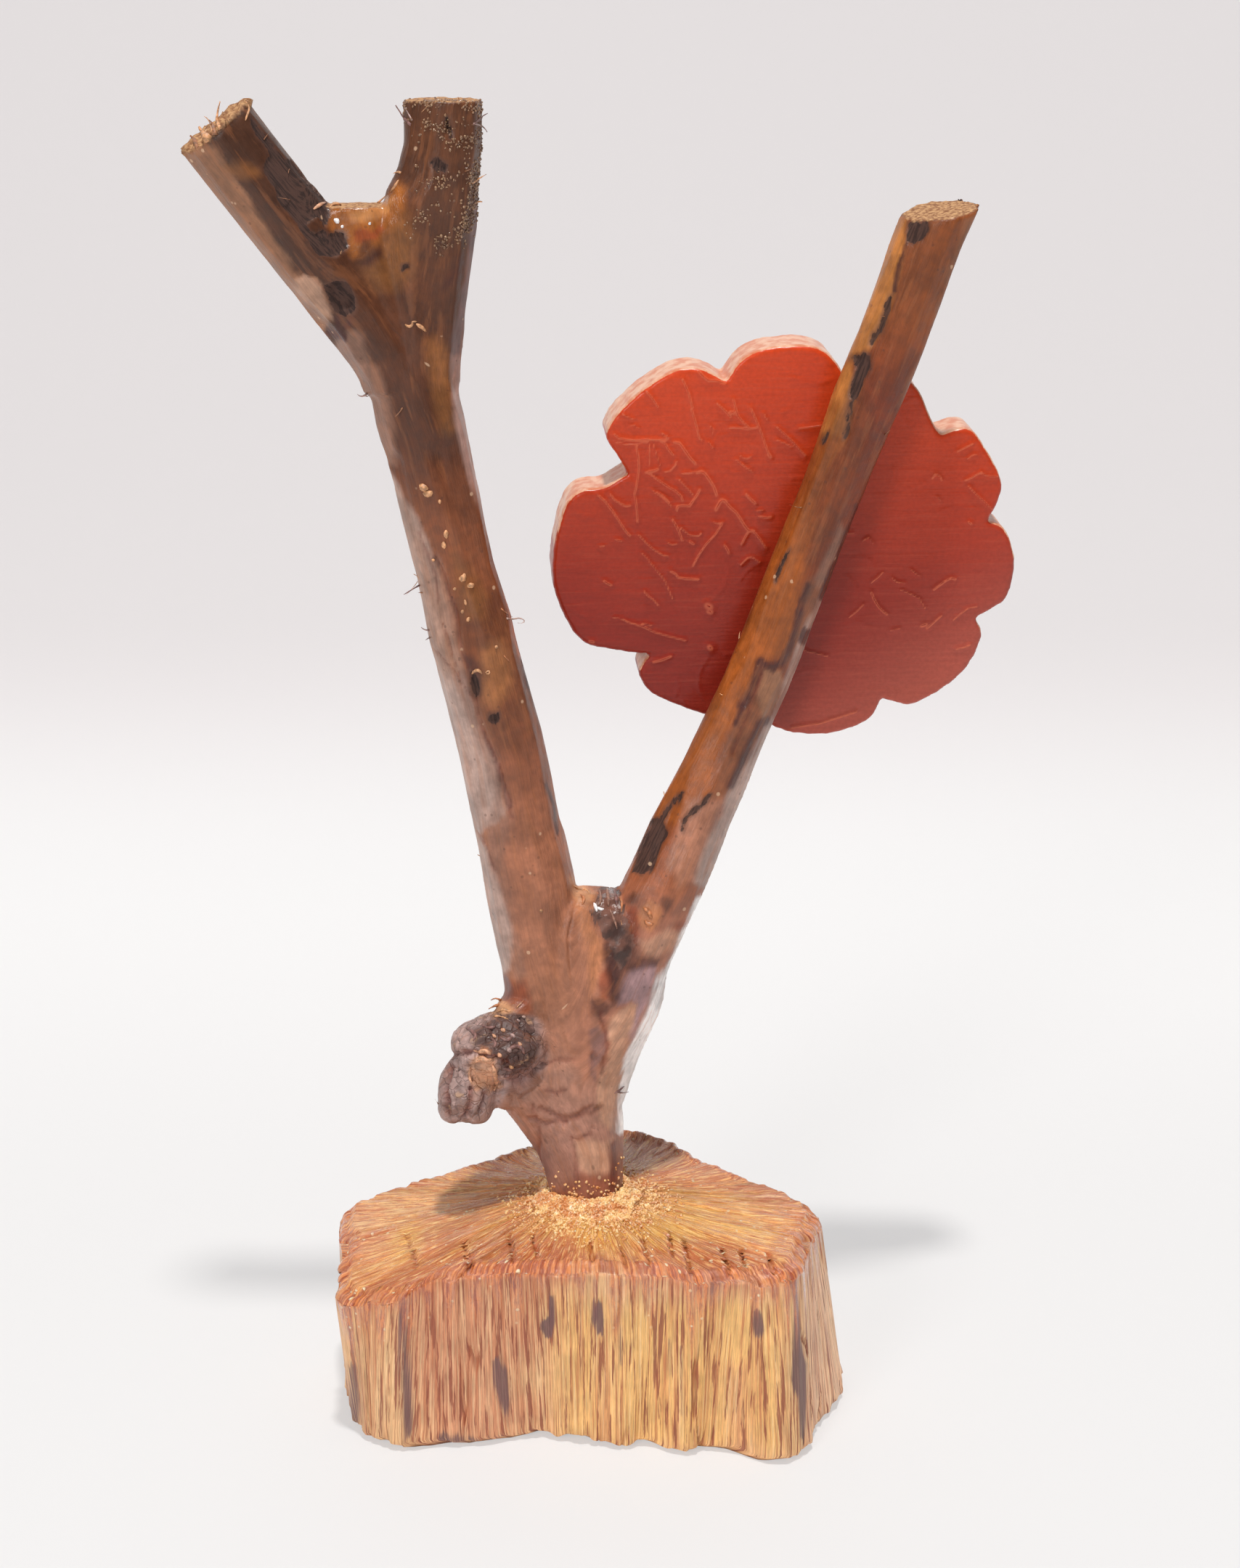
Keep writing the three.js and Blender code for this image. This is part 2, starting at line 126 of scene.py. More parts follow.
def keep_mask(mesh, name, values):
    layer = mesh.attributes.new(name, "FLOAT", "POINT")
    layer.data.foreach_set("value", np.asarray(values, np.float32))


def keep_colour(mesh, name, colours):
    layer = mesh.attributes.new(name, "FLOAT_COLOR", "POINT")
    rgba = np.column_stack([colours, np.ones(len(colours))])
    layer.data.foreach_set("color", rgba.astype(np.float32).ravel())


def keep_place(mesh, name, vectors):
    layer = mesh.attributes.new(name, "FLOAT_VECTOR", "POINT")
    layer.data.foreach_set("vector", np.asarray(vectors, np.float32).ravel())


def settled(piece):
    """The piece with its modifiers made part of its mesh."""
    graph = bpy.context.evaluated_depsgraph_get()
    mesh = bpy.data.meshes.new_from_object(piece.evaluated_get(graph))
    piece.modifiers.clear()
    piece.data = mesh
    return piece


def skin_of(node, name, voxel, smoothing, lumps=()):
    """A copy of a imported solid, with any oval lumps that it carries, as one even, fine skin."""
    shape = bmesh.new()
    shape.from_mesh(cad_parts[node].data)
    for middle, halves, turn in lumps:
        place = Matrix.Translation(Vector(middle) * MM) @ Matrix.Rotation(math.radians(turn), 4, "Y")
        place = place @ Matrix.Diagonal((*(h * MM for h in halves), 1))
        bmesh.ops.create_icosphere(shape, subdivisions=3, radius=1, matrix=place)
    mesh = bpy.data.meshes.new(name)
    shape.to_mesh(mesh)
    shape.free()
    piece = new_piece(name, mesh)
    weld = piece.modifiers.new("weld", "WELD")
    weld.merge_threshold = 0.01 * MM
    remesh = piece.modifiers.new("even skin", "REMESH")
    remesh.mode = "VOXEL"
    remesh.voxel_size = voxel
    soften = piece.modifiers.new("soften", "SMOOTH")
    soften.factor = 0.5
    soften.iterations = smoothing
    settled(piece)
    piece.data.materials.clear()
    piece.data.shade_smooth()
    return piece


def tree_of(mesh):
    return BVHTree.FromPolygons([v.co for v in mesh.vertices], [p.vertices for p in mesh.polygons])


# Photograph

def pixels_of(points):
    """Where the photograph shows these points, and how far before the camera they lie."""
    local = (np.asarray(points) - np.array(CAMERA_AT)) @ np.array(CAMERA_TURN)
    depth = -local[:, 2]
    across = PHOTO_SIZE[0] / 2 + FOCAL_PIXELS * local[:, 0] / depth
    down = PHOTO_SIZE[1] / 2 - FOCAL_PIXELS * local[:, 1] / depth
    return np.column_stack([across, down]), depth


def sight_line(pixel):
    across, down = pixel[0] - PHOTO_SIZE[0] / 2, PHOTO_SIZE[1] / 2 - pixel[1]
    return CAMERA_TURN @ Vector((across, down, -FOCAL_PIXELS)).normalized()


def pixel_list(corners):
    """Pixels from text such as "344,160 352,168"."""
    return [tuple(float(n) for n in pair.split(",")) for pair in corners.split()]


def marks_in(table):
    """The marks of a table. Each has a tone or none, its numbers, a colon and its pixels, and a
    semicolon before the next."""
    marks = []
    for mark in table.split(";"):
        head, corners = mark.split(":")
        words = head.split()
        tone = " ".join(word for word in words if word.isalpha())
        numbers = [float(word) for word in words if not word.isalpha()]
        marks.append((*([tone] if tone else []), *numbers, corners))
    return marks


class PhotoView:
    """How the photograph sees a piece's points, for marks that have their place in it."""

    def __init__(self, mesh):
        self.pixels, self.depth = pixels_of(points_of(mesh))
        to_camera = np.array(CAMERA_AT) - points_of(mesh)
        to_camera /= np.linalg.norm(to_camera, axis=1)[:, None]
        self.facing = np.einsum("ij,ij->i", normals_of(mesh), to_camera)
        self.shown = smoothstep(-0.25, 0.1, self.facing)
        self.tree = tree_of(mesh)

    def loosen(self, place, across, down, width, length):
        """Lets marks wander by some pixels, in flakes of a width and length in millimetres that
        run along a place's third axis."""
        flake = mm(width, width, length)
        for axis, pixels in enumerate((across, down)):
            wander = noise_at(place, flake, 301 + axis) + noise_at(place, 2.6 * flake, 303 + axis)
            self.pixels[:, axis] += pixels * wander

    def depth_at(self, pixel):
        """How far before the camera the piece is at a pixel, or None beside it."""
        hit = self.tree.ray_cast(CAMERA_AT, sight_line(pixel))[0]
        return None if hit is None else pixels_of([hit])[1][0]

    def near(self, corners, reach):
        """1 for points less than about one reach before or behind what these pixels show."""
        seen = [(pixel[1], self.depth_at(pixel)) for pixel in corners]
        seen = sorted(pair for pair in seen if pair[1] is not None)
        if not seen:
            return np.ones(len(self.depth))
        downs, depths = np.array(seen).T
        depth = np.interp(self.pixels[:, 1], downs, depths)
        return 1 - smoothstep(reach, 1.5 * reach, np.abs(self.depth - depth))

    def stroke(self, half_width, corners):
        """A line of marks through photograph pixels, 1 on the line, 0.5 at its half width."""
        corners = pixel_list(corners)
        nearest = np.full(len(self.depth), 1e9)
        for (x0, y0), (x1, y1) in zip(corners, corners[1:]):
            along = np.array([x1 - x0, y1 - y0], float)
            share = (self.pixels - (x0, y0)) @ along / (along @ along)
            foot = np.array([x0, y0]) + np.clip(share, 0, 1)[:, None] * along
            nearest = np.minimum(nearest, np.linalg.norm(self.pixels - foot, axis=1))
        mark = np.clip(1 - 0.5 * nearest / half_width, 0, 1)
        return mark * self.shown * self.near(corners, MARK_DEPTH)

    def area(self, softness, corners, wrap=False):
        """1 well inside an outline, 0.5 on it, over a softness in pixels to either side.
        With wrap the mark runs on round the silhouette."""
        corners = pixel_list(corners)
        low, high = np.min(corners, axis=0) - 2 * softness, np.max(corners, axis=0) + 2 * softness
        mark = np.zeros(len(self.depth))
        here = np.flatnonzero(((self.pixels > low) & (self.pixels < high)).all(axis=1))
        inward = outline_depth(self.pixels[here], corners)
        mark[here] = np.clip(0.5 + inward / (2 * softness), 0, 1)
        middle = tuple(np.mean(corners, axis=0))
        shown = smoothstep(-0.75, -0.2, self.facing) if wrap else self.shown
        return mark * shown * self.near([*corners, middle], AREA_DEPTH)


def outline_depth(pixels, corners):
    """How far inside a closed outline pixels lie, less than 0 outside it."""
    inside = np.zeros(len(pixels), bool)
    nearest = np.full(len(pixels), 1e9)
    for (x0, y0), (x1, y1) in zip(corners, corners[1:] + corners[:1]):
        along = np.array([x1 - x0, y1 - y0])
        offset = pixels - (x0, y0)
        share = np.clip(offset @ along / max(along @ along, 1e-9), 0, 1)
        nearest = np.minimum(nearest, np.linalg.norm(offset - share[:, None] * along, axis=1))
        if y0 != y1:
            crossing = x0 + (pixels[:, 1] - y0) / (y1 - y0) * (x1 - x0)
            inside ^= ((y0 > pixels[:, 1]) != (y1 > pixels[:, 1])) & (pixels[:, 0] < crossing)
    return np.where(inside, nearest, -nearest)


# Node trees

def paint(red, green, blue):
    """A display colour from 0 to 255 as the linear colour that a shader takes."""
    shares = [c / 255 for c in (red, green, blue)]
    return [c / 12.92 if c <= 0.04045 else ((c + 0.055) / 1.055) ** 2.4 for c in shares] + [1]


def under_varnish(tone):
    """The linear colour of wood that looks like a display colour through its varnish."""
    linear = np.array(paint(*tone)[:3])
    return np.maximum(linear - VARNISH_HAZE, 0.3 * linear)


def laid_over(colours, share, tone):
    share = np.clip(share, 0, 1)[:, None]
    return colours * (1 - share) + under_varnish(tone) * share


def laid_by_chance(colours, places, where, chances, tones):
    """Colours under patches whose places are left to chance. A patch has its tone, its width and
    length in millimetres, the noise that it starts and is full at, its strength and its seed."""
    for tone, width, length, start, full, most, seed in chances:
        chance = noise_at(places, mm(width, width, length), seed)
        colours = laid_over(colours, most * where * smoothstep(start, full, chance), tones[tone])
    return colours


def wire(tree, kind, inputs=(), **settings):
    """A new node. An input that is a socket is linked, and any other is set."""
    node = tree.nodes.new(kind)
    for name, value in settings.items():
        setattr(node, name, value)
    for name, value in dict(inputs).items():
        if isinstance(value, bpy.types.NodeSocket):
            tree.links.new(value, node.inputs[name])
        else:
            node.inputs[name].default_value = value
    return node


def mixed(tree, share, first, second, how="MIX"):
    inputs = {0: share, 6: first, 7: second}
    return wire(tree, "ShaderNodeMix", inputs, data_type="RGBA", blend_type=how).outputs[2]


def maths(tree, operation, first, second):
    return wire(tree, "ShaderNodeMath", {0: first, 1: second}, operation=operation).outputs[0]


def plus(tree, first, second):
    return maths(tree, "ADD", first, second)


def times(tree, first, second):
    return maths(tree, "MULTIPLY", first, second)


def ranged(tree, value, low, high, start=0.0, end=1.0):
    """The value eased from start at low to end at high."""
    inputs = {"Value": value, "From Min": low, "From Max": high, "To Min": start, "To Max": end}
    node = wire(tree, "ShaderNodeMapRange", inputs, interpolation_type="SMOOTHSTEP")
    return node.outputs[0]


def attribute(tree, name, output="Fac"):
    return wire(tree, "ShaderNodeAttribute", attribute_name=name).outputs[output]


def on_object(tree):
    return wire(tree, "ShaderNodeTexCoord").outputs["Object"]


def clouds(tree, place, scale, detail):
    """Soft noise from 0 to 1 with features of about one metre divided by scale."""
    inputs = {"Vector": place, "Scale": scale, "Detail": detail}
    return wire(tree, "ShaderNodeTexNoise", inputs).outputs[0]


def stained(tree, colour, value, low, high, most, tone):
    """The colour under a display tone, which grows from nothing at low to its most at high."""
    return mixed(tree, ranged(tree, value, low, high, 0, most), colour, paint(*tone))


def covered(tree, colour, mask, strength, tone):
    return mixed(tree, times(tree, mask, strength), colour, tone)


def shaded(tree, colour, value, low, high, start, end):
    """The colour multiplied by what goes from start at low to end at high."""
    return mixed(tree, 1.0, colour, ranged(tree, value, low, high, start, end), "MULTIPLY")


def new_group(name, inputs, outputs):
    """A shader node group with its named sockets, and its inner ends."""
    group = bpy.data.node_groups.new(name, "ShaderNodeTree")
    for direction, sockets in (("INPUT", inputs), ("OUTPUT", outputs)):
        for label, kind in sockets:
            group.interface.new_socket(label, in_out=direction, socket_type="NodeSocket" + kind)
    source = group.nodes.new("NodeGroupInput").outputs
    target = group.nodes.new("NodeGroupOutput").inputs
    return group, source, target


def use(tree, group, inputs):
    return wire(tree, "ShaderNodeGroup", inputs, node_tree=group).outputs[0]


def stretched(group, source):
    """The group's Place, drawn out along its third axis by Stretch."""
    parts = wire(group, "ShaderNodeSeparateXYZ", {0: source["Place"]}).outputs
    along = maths(group, "DIVIDE", parts[2], source["Stretch"])
    return wire(group, "ShaderNodeCombineXYZ", {0: parts[0], 1: parts[1], 2: along}).outputs[0]


def grain_streaks_group():
    """Streaks that run along a place vector's third axis, as wide as Width in millimetres."""
    sockets = [("Place", "Vector"), ("Width", "Float"), ("Stretch", "Float")]
    group, source, target = new_group("grain streaks", sockets, [("Streak", "Float")])
    scale = {0: stretched(group, source), "Scale": maths(group, "DIVIDE", 1 / MM, source["Width"])}
    scaled = wire(group, "ShaderNodeVectorMath", scale, operation="SCALE").outputs[0]
    noise = {"Vector": scaled, "Scale": 1.0, "Detail": 4.0, "Roughness": 0.6}
    streak = wire(group, "ShaderNodeTexNoise", noise).outputs[0]
    group.links.new(ranged(group, streak, 0.28, 0.72), target["Streak"])
    return group


def ragged_edge_group():
    """A soft mask made crisp at 0.5, with an edge torn along a place vector's third axis."""
    sockets = [("Mask", "Float"), ("Place", "Vector"), ("Size", "Float"), ("Amount", "Float"),
               ("Stretch", "Float")]
    group, source, target = new_group("ragged edge", sockets, [("Mask", "Float")])
    noise = {"Vector": stretched(group, source), "Detail": 5.0, "Roughness": 0.65,
             "Scale": maths(group, "DIVIDE", 1 / MM, source["Size"])}
    wander = maths(group, "SUBTRACT", wire(group, "ShaderNodeTexNoise", noise).outputs[0], 0.5)
    moved = plus(group, source["Mask"], times(group, wander, source["Amount"]))
    group.links.new(ranged(group, moved, 0.44, 0.56), target["Mask"])
    return group


def specks_group():
    """Scattered specks of about Size millimetres. Share is how many of the places hold one."""
    sockets = [("Place", "Vector"), ("Size", "Float"), ("Share", "Float")]
    group, source, target = new_group("specks", sockets, [("Speck", "Float")])
    scale = maths(group, "DIVIDE", 0.35 / MM, source["Size"])
    cells = wire(group, "ShaderNodeTexVoronoi", {"Vector": source["Place"], "Scale": scale}).outputs
    luck = wire(group, "ShaderNodeSeparateColor", {0: cells["Color"]}).outputs[0]
    chosen = maths(group, "LESS_THAN", luck, source["Share"])
    dot = ranged(group, cells["Distance"], 0.3, 0.16)
    group.links.new(times(group, dot, chosen), target["Speck"])
    return group


GRAIN = grain_streaks_group()
RAGGED = ragged_edge_group()
SPECKS = specks_group()


def streaks(tree, place, width, stretch):
    return use(tree, GRAIN, {"Place": place, "Width": width, "Stretch": stretch})


def specks(tree, place, size, share):
    return use(tree, SPECKS, {"Place": place, "Size": size, "Share": share})


def new_material(name):
    material = bpy.data.materials.new(name)
    material.use_nodes = True
    tree = material.node_tree
    tree.nodes.clear()
    shader = wire(tree, "ShaderNodeBsdfPrincipled")
    output = wire(tree, "ShaderNodeOutputMaterial")
    tree.links.new(shader.outputs[0], output.inputs[0])
    return material, tree, shader


def finish_with(tree, shader, colour, roughness, height, relief, coat=None):
    """Links the surface. Relief is the bump's depth in metres at full height."""
    tree.links.new(colour, shader.inputs["Base Color"])
    tree.links.new(roughness, shader.inputs["Roughness"])
    bump = wire(tree, "ShaderNodeBump", {"Height": height, "Distance": relief, "Strength": 1.0})
    tree.links.new(bump.outputs[0], shader.inputs["Normal"])
    if coat is not None:
        tree.links.new(coat, shader.inputs["Coat Weight"])
        tree.links.new(bump.outputs[0], shader.inputs["Coat Normal"])


# Block of split wood

BLOCK_COLUMNS = 880
SIDE_ROWS = 46
TOP_ROWS = 44
RIM_STEPS = (0.1, 0.3, 0.5, 0.7, 0.9)
RIM_ROUND = 2.2 * MM
CORE = Vector((0, 0, 20)) * MM  # inside the block, and in sight of all of its skin
OUTSIDE = 150 * MM
COLLAR_INSIDE = 8 * MM
FRAY = 1.5 * MM  # height of the frayed lower edge
UNDERSIDE_INSET = 3 * MM
GROOVE_DEPTH = 0.8 * MM
TOP_HEIGHTS = (30 * MM, 44 * MM)  # these hold a ray that goes down the hole for the branch

BLOCK_TONES = {
    "straw": (236, 186, 134), "rosy": (212, 148, 114), "gold": (244, 192, 120),
    "pale panel": (250, 206, 168), "bruise": (138, 96, 88), "deep bruise": (84, 56, 54),
    "top": (242, 162, 100), "pale orange": (246, 184, 128), "bright gold": (255, 194, 100),
    "wet red": (206, 118, 70), "back tan": (222, 168, 134), "rust": (186, 100, 60),
}
# Larger marks on the block: tone, softness in pixels, strength, outline. Of the dark marks, the last two,
# down the left edge and along the bottom edge, are painted shade; the others are stains.
BLOCK_AREAS = marks_in("""
rosy 26 0.85: 556,1750 680,1742 775,1765 722,1800 755,1850 712,1900 750,1945 705,1990 600,2000 560,1900;
gold 24 0.85: 765,1790 830,1800 840,1990 770,1990;
gold 22 0.85: 840,1800 1000,1780 1080,1800 1085,2000 840,2000;
pale panel 10 0.9: 1112,1740 1180,1740 1180,2000 1112,2000;
rosy 14 0.6: 900,1745 1080,1745 1080,1775 910,1790;
rosy 14 0.5: 1000,1880 1030,1880 1035,2000 1005,2000;
pale orange 25 0.9: 470,1660 600,1600 660,1590 640,1640 590,1680 520,1710 470,1710;
bright gold 14 0.85: 780,1680 900,1668 960,1700 900,1722 800,1722;
bright gold 12 0.8: 540,1690 575,1680 580,1740 545,1745;
bright gold 18 0.8: 930,1640 1060,1680 1090,1720 1000,1710 930,1680;
wet red 14 0.8: 500,1770 560,1735 640,1715 700,1700 760,1705 790,1730 770,1745 640,1765 560,1780
  505,1795;
wet red 10 0.5: 900,1725 1090,1718 1095,1745 905,1745;
back tan 20 0.9: 850,1545 1000,1570 1130,1640 1140,1680 1040,1645 960,1610 850,1600;
rust 5 0.6: 500,1700 560,1684 600,1668 600,1676 560,1694 500,1712;
bruise 7 0.85: 546,1777 560,1776 566,1850 571,1976 557,1982 548,1900;
deep bruise 6 0.9: 678,1867 686,1866 698,1890 703,1930 699,1957 689,1940 680,1900;
deep bruise 3 0.95: 757,1781 763,1781 765,1815 760,1842 750,1842 743,1832 746,1820 756,1812;
deep bruise 4 0.95: 816,1795 828,1795 832,1815 830,1840 820,1842 814,1820;
deep bruise 4 0.8: 701,1722 708,1724 712,1770 706,1780 702,1760;
bruise 4 0.9: 977,1755 988,1750 998,1765 994,1778 984,1782 978,1770;
deep bruise 4 0.9: 1038,1797 1050,1800 1054,1825 1046,1842 1040,1836 1036,1815;
deep bruise 3 0.95: 1084,1742 1092,1740 1098,1786 1104,1855 1111,1880 1111,1930 1108,1985 1102,1985
  1098,1925 1089,1900 1092,1855 1092,1790;
bruise 3 0.8: 919,1847 925,1847 925,1894 920,1894;
bruise 3 0.8: 936,1851 942,1855 943,1956 938,1950;
bruise 4 0.6: 851,1822 858,1830 858,1886 852,1880;
bruise 5 0.7: 480,1880 492,1880 497,1930 496,1976 480,1970;
bruise 6 0.5: 600,1978 700,1978 705,2004 600,2004
""")
# Patches by chance on the hidden side and on the top, as laid_by_chance takes them
SIDE_CHANCES = [
    ("rosy", 8, 40, 0.0, 0.3, 0.8, 71), ("gold", 7, 40, 0.2, 0.5, 0.7, 72),
    ("bruise", 3, 30, 0.5, 0.8, 0.9, 73),
]
TOP_CHANCES = [("bright gold", 6, 12, -0.1, 0.5, 0.5, 75), ("rust", 6, 12, 0.1, -0.5, 0.4, 75)]
# Grooves that run over the wet rim: pixels along them
RIM_GROOVES = [
    "853,1715 862,1745", "885,1708 893,1745", "940,1710 952,1755", "993,1720 1005,1755",
    "1058,1730 1065,1752", "812,1712 816,1735", "702,1700 708,1735", "735,1700 741,1728",
    "560,1700 575,1745", "640,1712 648,1748", "1020,1722 1024,1740", "920,1700 925,1728",
]


def around(values, reach):
    """Values round the block, each averaged with its neighbours over a reach in columns."""
    taps = np.arange(-3 * reach, 3 * reach + 1)
    weights = np.exp(-0.5 * (taps / reach) ** 2)
    shifted = [w * np.roll(values, t, axis=0) for t, w in zip(taps, weights)]
    return sum(shifted) / weights.sum()


def rim_at(tree, angle):
    """Radius and height of the block's rim in one direction."""
    best = (0, 0)
    for rise in np.radians(np.arange(-10, 60, 0.5)):
        flat = math.cos(rise)
        toward = Vector((math.cos(angle) * flat, math.sin(angle) * flat, math.sin(rise)))
        hit = tree.ray_cast(CORE + toward * OUTSIDE, -toward)[0]
        radius = math.hypot(hit.x, hit.y)
        if radius + hit.z > sum(best):
            best = (radius, hit.z)
    return best


def even_angles(tree, count):
    """Directions whose rim points lie evenly round the rim."""
    coarse = np.linspace(0, 2 * math.pi, 361)
    radii = np.array([rim_at(tree, a)[0] for a in coarse[:-1]])
    radii = np.append(radii, radii[0])
    x, y = radii * np.cos(coarse), radii * np.sin(coarse)
    length = np.concatenate([[0], np.cumsum(np.hypot(np.diff(x), np.diff(y)))])
    return np.interp(np.arange(count) * length[-1] / count, length, coarse), length[-1]


def side_grid(tree, angles, rim_height):
    """Radius of the block's side at each column and level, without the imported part's ripple."""
    levels = np.linspace(0.02, 0.95, SIDE_ROWS)
    radii = np.empty((len(angles), SIDE_ROWS))
    for k, angle in enumerate(angles):
        toward = Vector((math.cos(angle), math.sin(angle), 0))
        for j, level in enumerate(levels):
            start = toward * OUTSIDE + Vector((0, 0, level * rim_height[k]))
            radii[k, j] = tree.ray_cast(start, -toward)[0].xy.length
    return levels, around(radii, 4)


def top_grid(tree, angles, rim_radius):
    """Height of the block's top at each column and distance in from the rim."""
    insets = np.linspace(0.03, 1, TOP_ROWS) ** 1.1
    heights = np.empty((len(angles), TOP_ROWS))
    radii = np.outer(rim_radius - RIM_ROUND, 1 - insets) + COLLAR_INSIDE * insets
    for k, angle in enumerate(angles):
        for j in range(TOP_ROWS):
            x, y = radii[k, j] * math.cos(angle), radii[k, j] * math.sin(angle)
            hit = tree.ray_cast((x, y, OUTSIDE), (0, 0, -1))[0]
            heights[k, j] = np.clip(hit.z, *TOP_HEIGHTS)
    return radii, around(heights, 3)


class Fibres:
    """The block's fibres, which run up its side, over the rim and in to the foot."""

    def __init__(self, angles, girth):
        self.plan = np.column_stack([np.cos(angles), np.sin(angles)])
        self.none = np.zeros(len(angles))
        self.turn = 2 * math.pi * np.arange(len(angles)) / len(angles)
        self.drum = girth / (2 * math.pi)

    def place(self, run):
        """Places on an even drum, where a fibre keeps its place but wanders a little."""
        turn, drum = self.turn, self.drum
        here = np.column_stack([np.cos(turn), np.sin(turn), run / drum]) * drum
        wander = noise_at(here, mm(9, 9, 30), 34) * 0.5 * MM / drum
        return np.column_stack([drum * np.cos(turn + wander), drum * np.sin(turn + wander), run])

    def ripple(self, run, width, stretch, seed):
        """Noise of a width in millimetres, drawn out along the fibres."""
        width = width * MM
        return noise_at(self.place(run), np.array([width, width, width * stretch]), seed)

    def gouges(self, run, seed):
        """Narrow cuts that follow the fibres, 1 at their deepest."""
        line = 1 - np.abs(noise_at(self.place(run), mm(2.2, 2.2, 24), seed))
        return smoothstep(0.88, 1, line)

    def ring(self, radius, height, run, cut, top, wet):
        """One ring of the skin: its points, their places in the wood, and its masks."""
        points = np.column_stack([self.plan * radius[:, None], np.maximum(height, 0)])
        return points, self.place(run), cut, self.none + top, wet


def side_rings(fibres, tree, angles, rim_height):
    """Rings up the side, with a frayed lower edge and varnish that dripped from the rim."""
    none = fibres.none
    frayed = FRAY * (0.5 + 0.5 * fibres.ripple(none, 1.6, 1, 5))
    frayed = np.clip(frayed + 0.5 * MM * fibres.ripple(none, 5, 1, 6), 0.1 * MM, None)
    drip = 4.5 * MM + 2 * MM * fibres.ripple(none, 6, 1, 8)
    drip += 8 * MM * smoothstep(-0.1, 0.5, fibres.ripple(none, 1.1, 1, 7))
    drip += 12 * MM * smoothstep(0.2, 0.6, fibres.ripple(none, 2.2, 1, 9))
    levels, side = side_grid(tree, angles, rim_height)
    rings = [fibres.ring(side[:, 0] - UNDERSIDE_INSET, none, none, none, 0, none)]
    for j, level in enumerate(levels):
        run = level * rim_height
        cut = fibres.gouges(run, 11) * smoothstep(-0.1, 0.5, fibres.ripple(run, 7, 3, 12))
        relief = 0.12 * fibres.ripple(run, 1.5, 16, 1) + 0.09 * fibres.ripple(run, 0.8, 20, 2)
        relief += 0.4 * fibres.ripple(run, 6, 6, 3) - 0.7 * cut
        torn = 1 - smoothstep(0, 0.16, level)
        relief += torn * 0.5 * fibres.ripple(run, 1.2, 4, 4)
        height = run + frayed * (1 - level) ** 6
        wet = 0.9 * (1 - smoothstep(0.25 * drip, drip, rim_height - run))
        rings.append(fibres.ring(side[:, j] + relief * MM, height, run, cut, 0, wet))
    return rings


def rim_rings(fibres, rim_radius, rim_height, edge_wave):
    """Rings over the rounded rim, which is soaked with varnish."""
    cut = fibres.gouges(rim_height, 21)
    relief = 0.3 * fibres.ripple(rim_height, 1.3, 8, 1) - 0.6 * cut
    rings = []
    for step in RIM_STEPS:
        bend = step * math.pi / 2
        out, drop = RIM_ROUND * (1 - math.cos(bend)), RIM_ROUND * (1 - math.sin(bend))
        run = rim_height + step * RIM_ROUND
        bumps = 0.22 * MM * noise_at(fibres.place(run), mm(1.1, 1.1, 1.6), 35)
        radius = rim_radius - out + relief * MM + bumps
        height = rim_height - drop + edge_wave + relief * 0.5 * MM + bumps
        rings.append(fibres.ring(radius, height, run, cut, step, fibres.none + 1))
    return rings


def top_rings(fibres, tree, angles, rim_radius, rim_height, edge_wave):
    """Rings in over the gouged top, from the rim to under the collar."""
    radii, heights = top_grid(tree, angles, rim_radius)
    rings = []
    for j in range(TOP_ROWS):
        inset = rim_radius - radii[:, j]
        run = rim_height + RIM_ROUND + inset
        near_rim = np.exp(-inset / (7 * MM))
        cut = fibres.gouges(run, 21) * (0.25 + 0.75 * near_rim)
        chips = noise_at(fibres.place(run), mm(0.9, 0.9, 3.2), 36)
        relief = 0.2 * fibres.ripple(run, 1.4, 8, 1) + 0.2 * chips
        relief += 0.35 * fibres.ripple(run, 5, 3, 33) - 0.8 * cut
        settle = smoothstep(8 * MM, 13 * MM, radii[:, j])
        rise = RIM_ROUND * 0.12 * smoothstep(0, 3 * MM, inset)
        height = heights[:, j] + settle * (relief * MM + near_rim * edge_wave) - rise
        rings.append(fibres.ring(radii[:, j], height, run, cut, 1, np.exp(-inset / (4 * MM))))
    return rings


def ring_faces(rings, count):
    """Faces of a skin of rings, closed by a point below and a point above."""
    faces = []
    for row in range(rings - 1):
        for k in range(count):
            a, b = row * count + k, row * count + (k + 1) % count
            faces.append((a, b, b + count, a + count))
    last = (rings - 1) * count
    under, over = last + count, last + count + 1
    faces += [(under, (k + 1) % count, k) for k in range(count)]
    faces += [(over, last + k, last + (k + 1) % count) for k in range(count)]
    return faces


def split_wood_shape():
    """The block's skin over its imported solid, its places in the wood and its masks."""
    tree = tree_of(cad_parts["base_block"].data)
    angles, girth = even_angles(tree, BLOCK_COLUMNS)
    rim = np.array([rim_at(tree, a) for a in angles])
    rim_radius, rim_height = around(rim[:, 0], 2), around(rim[:, 1], 3)
    fibres = Fibres(angles, girth)
    edge_wave = 0.35 * MM * fibres.ripple(rim_height, 4, 8, 31)
    rings = side_rings(fibres, tree, angles, rim_height)
    rings += rim_rings(fibres, rim_radius, rim_height, edge_wave)
    rings += top_rings(fibres, tree, angles, rim_radius, rim_height, edge_wave)
    faces = ring_faces(len(rings), BLOCK_COLUMNS)
    ends = [(0, 0), (rings[-1][0][:, 2].mean(), 1)]
    rings += [([[0, 0, height]], [[0, 0, 0]], [0], [top], [0]) for height, top in ends]
    points, places, cut, top, wet = (np.concatenate(part) for part in zip(*rings))
    piece = piece_of("split_wood_block", points, faces)
    piece.data.shade_smooth()
    return piece, places, {"cut": cut, "top": top, "wet": wet}


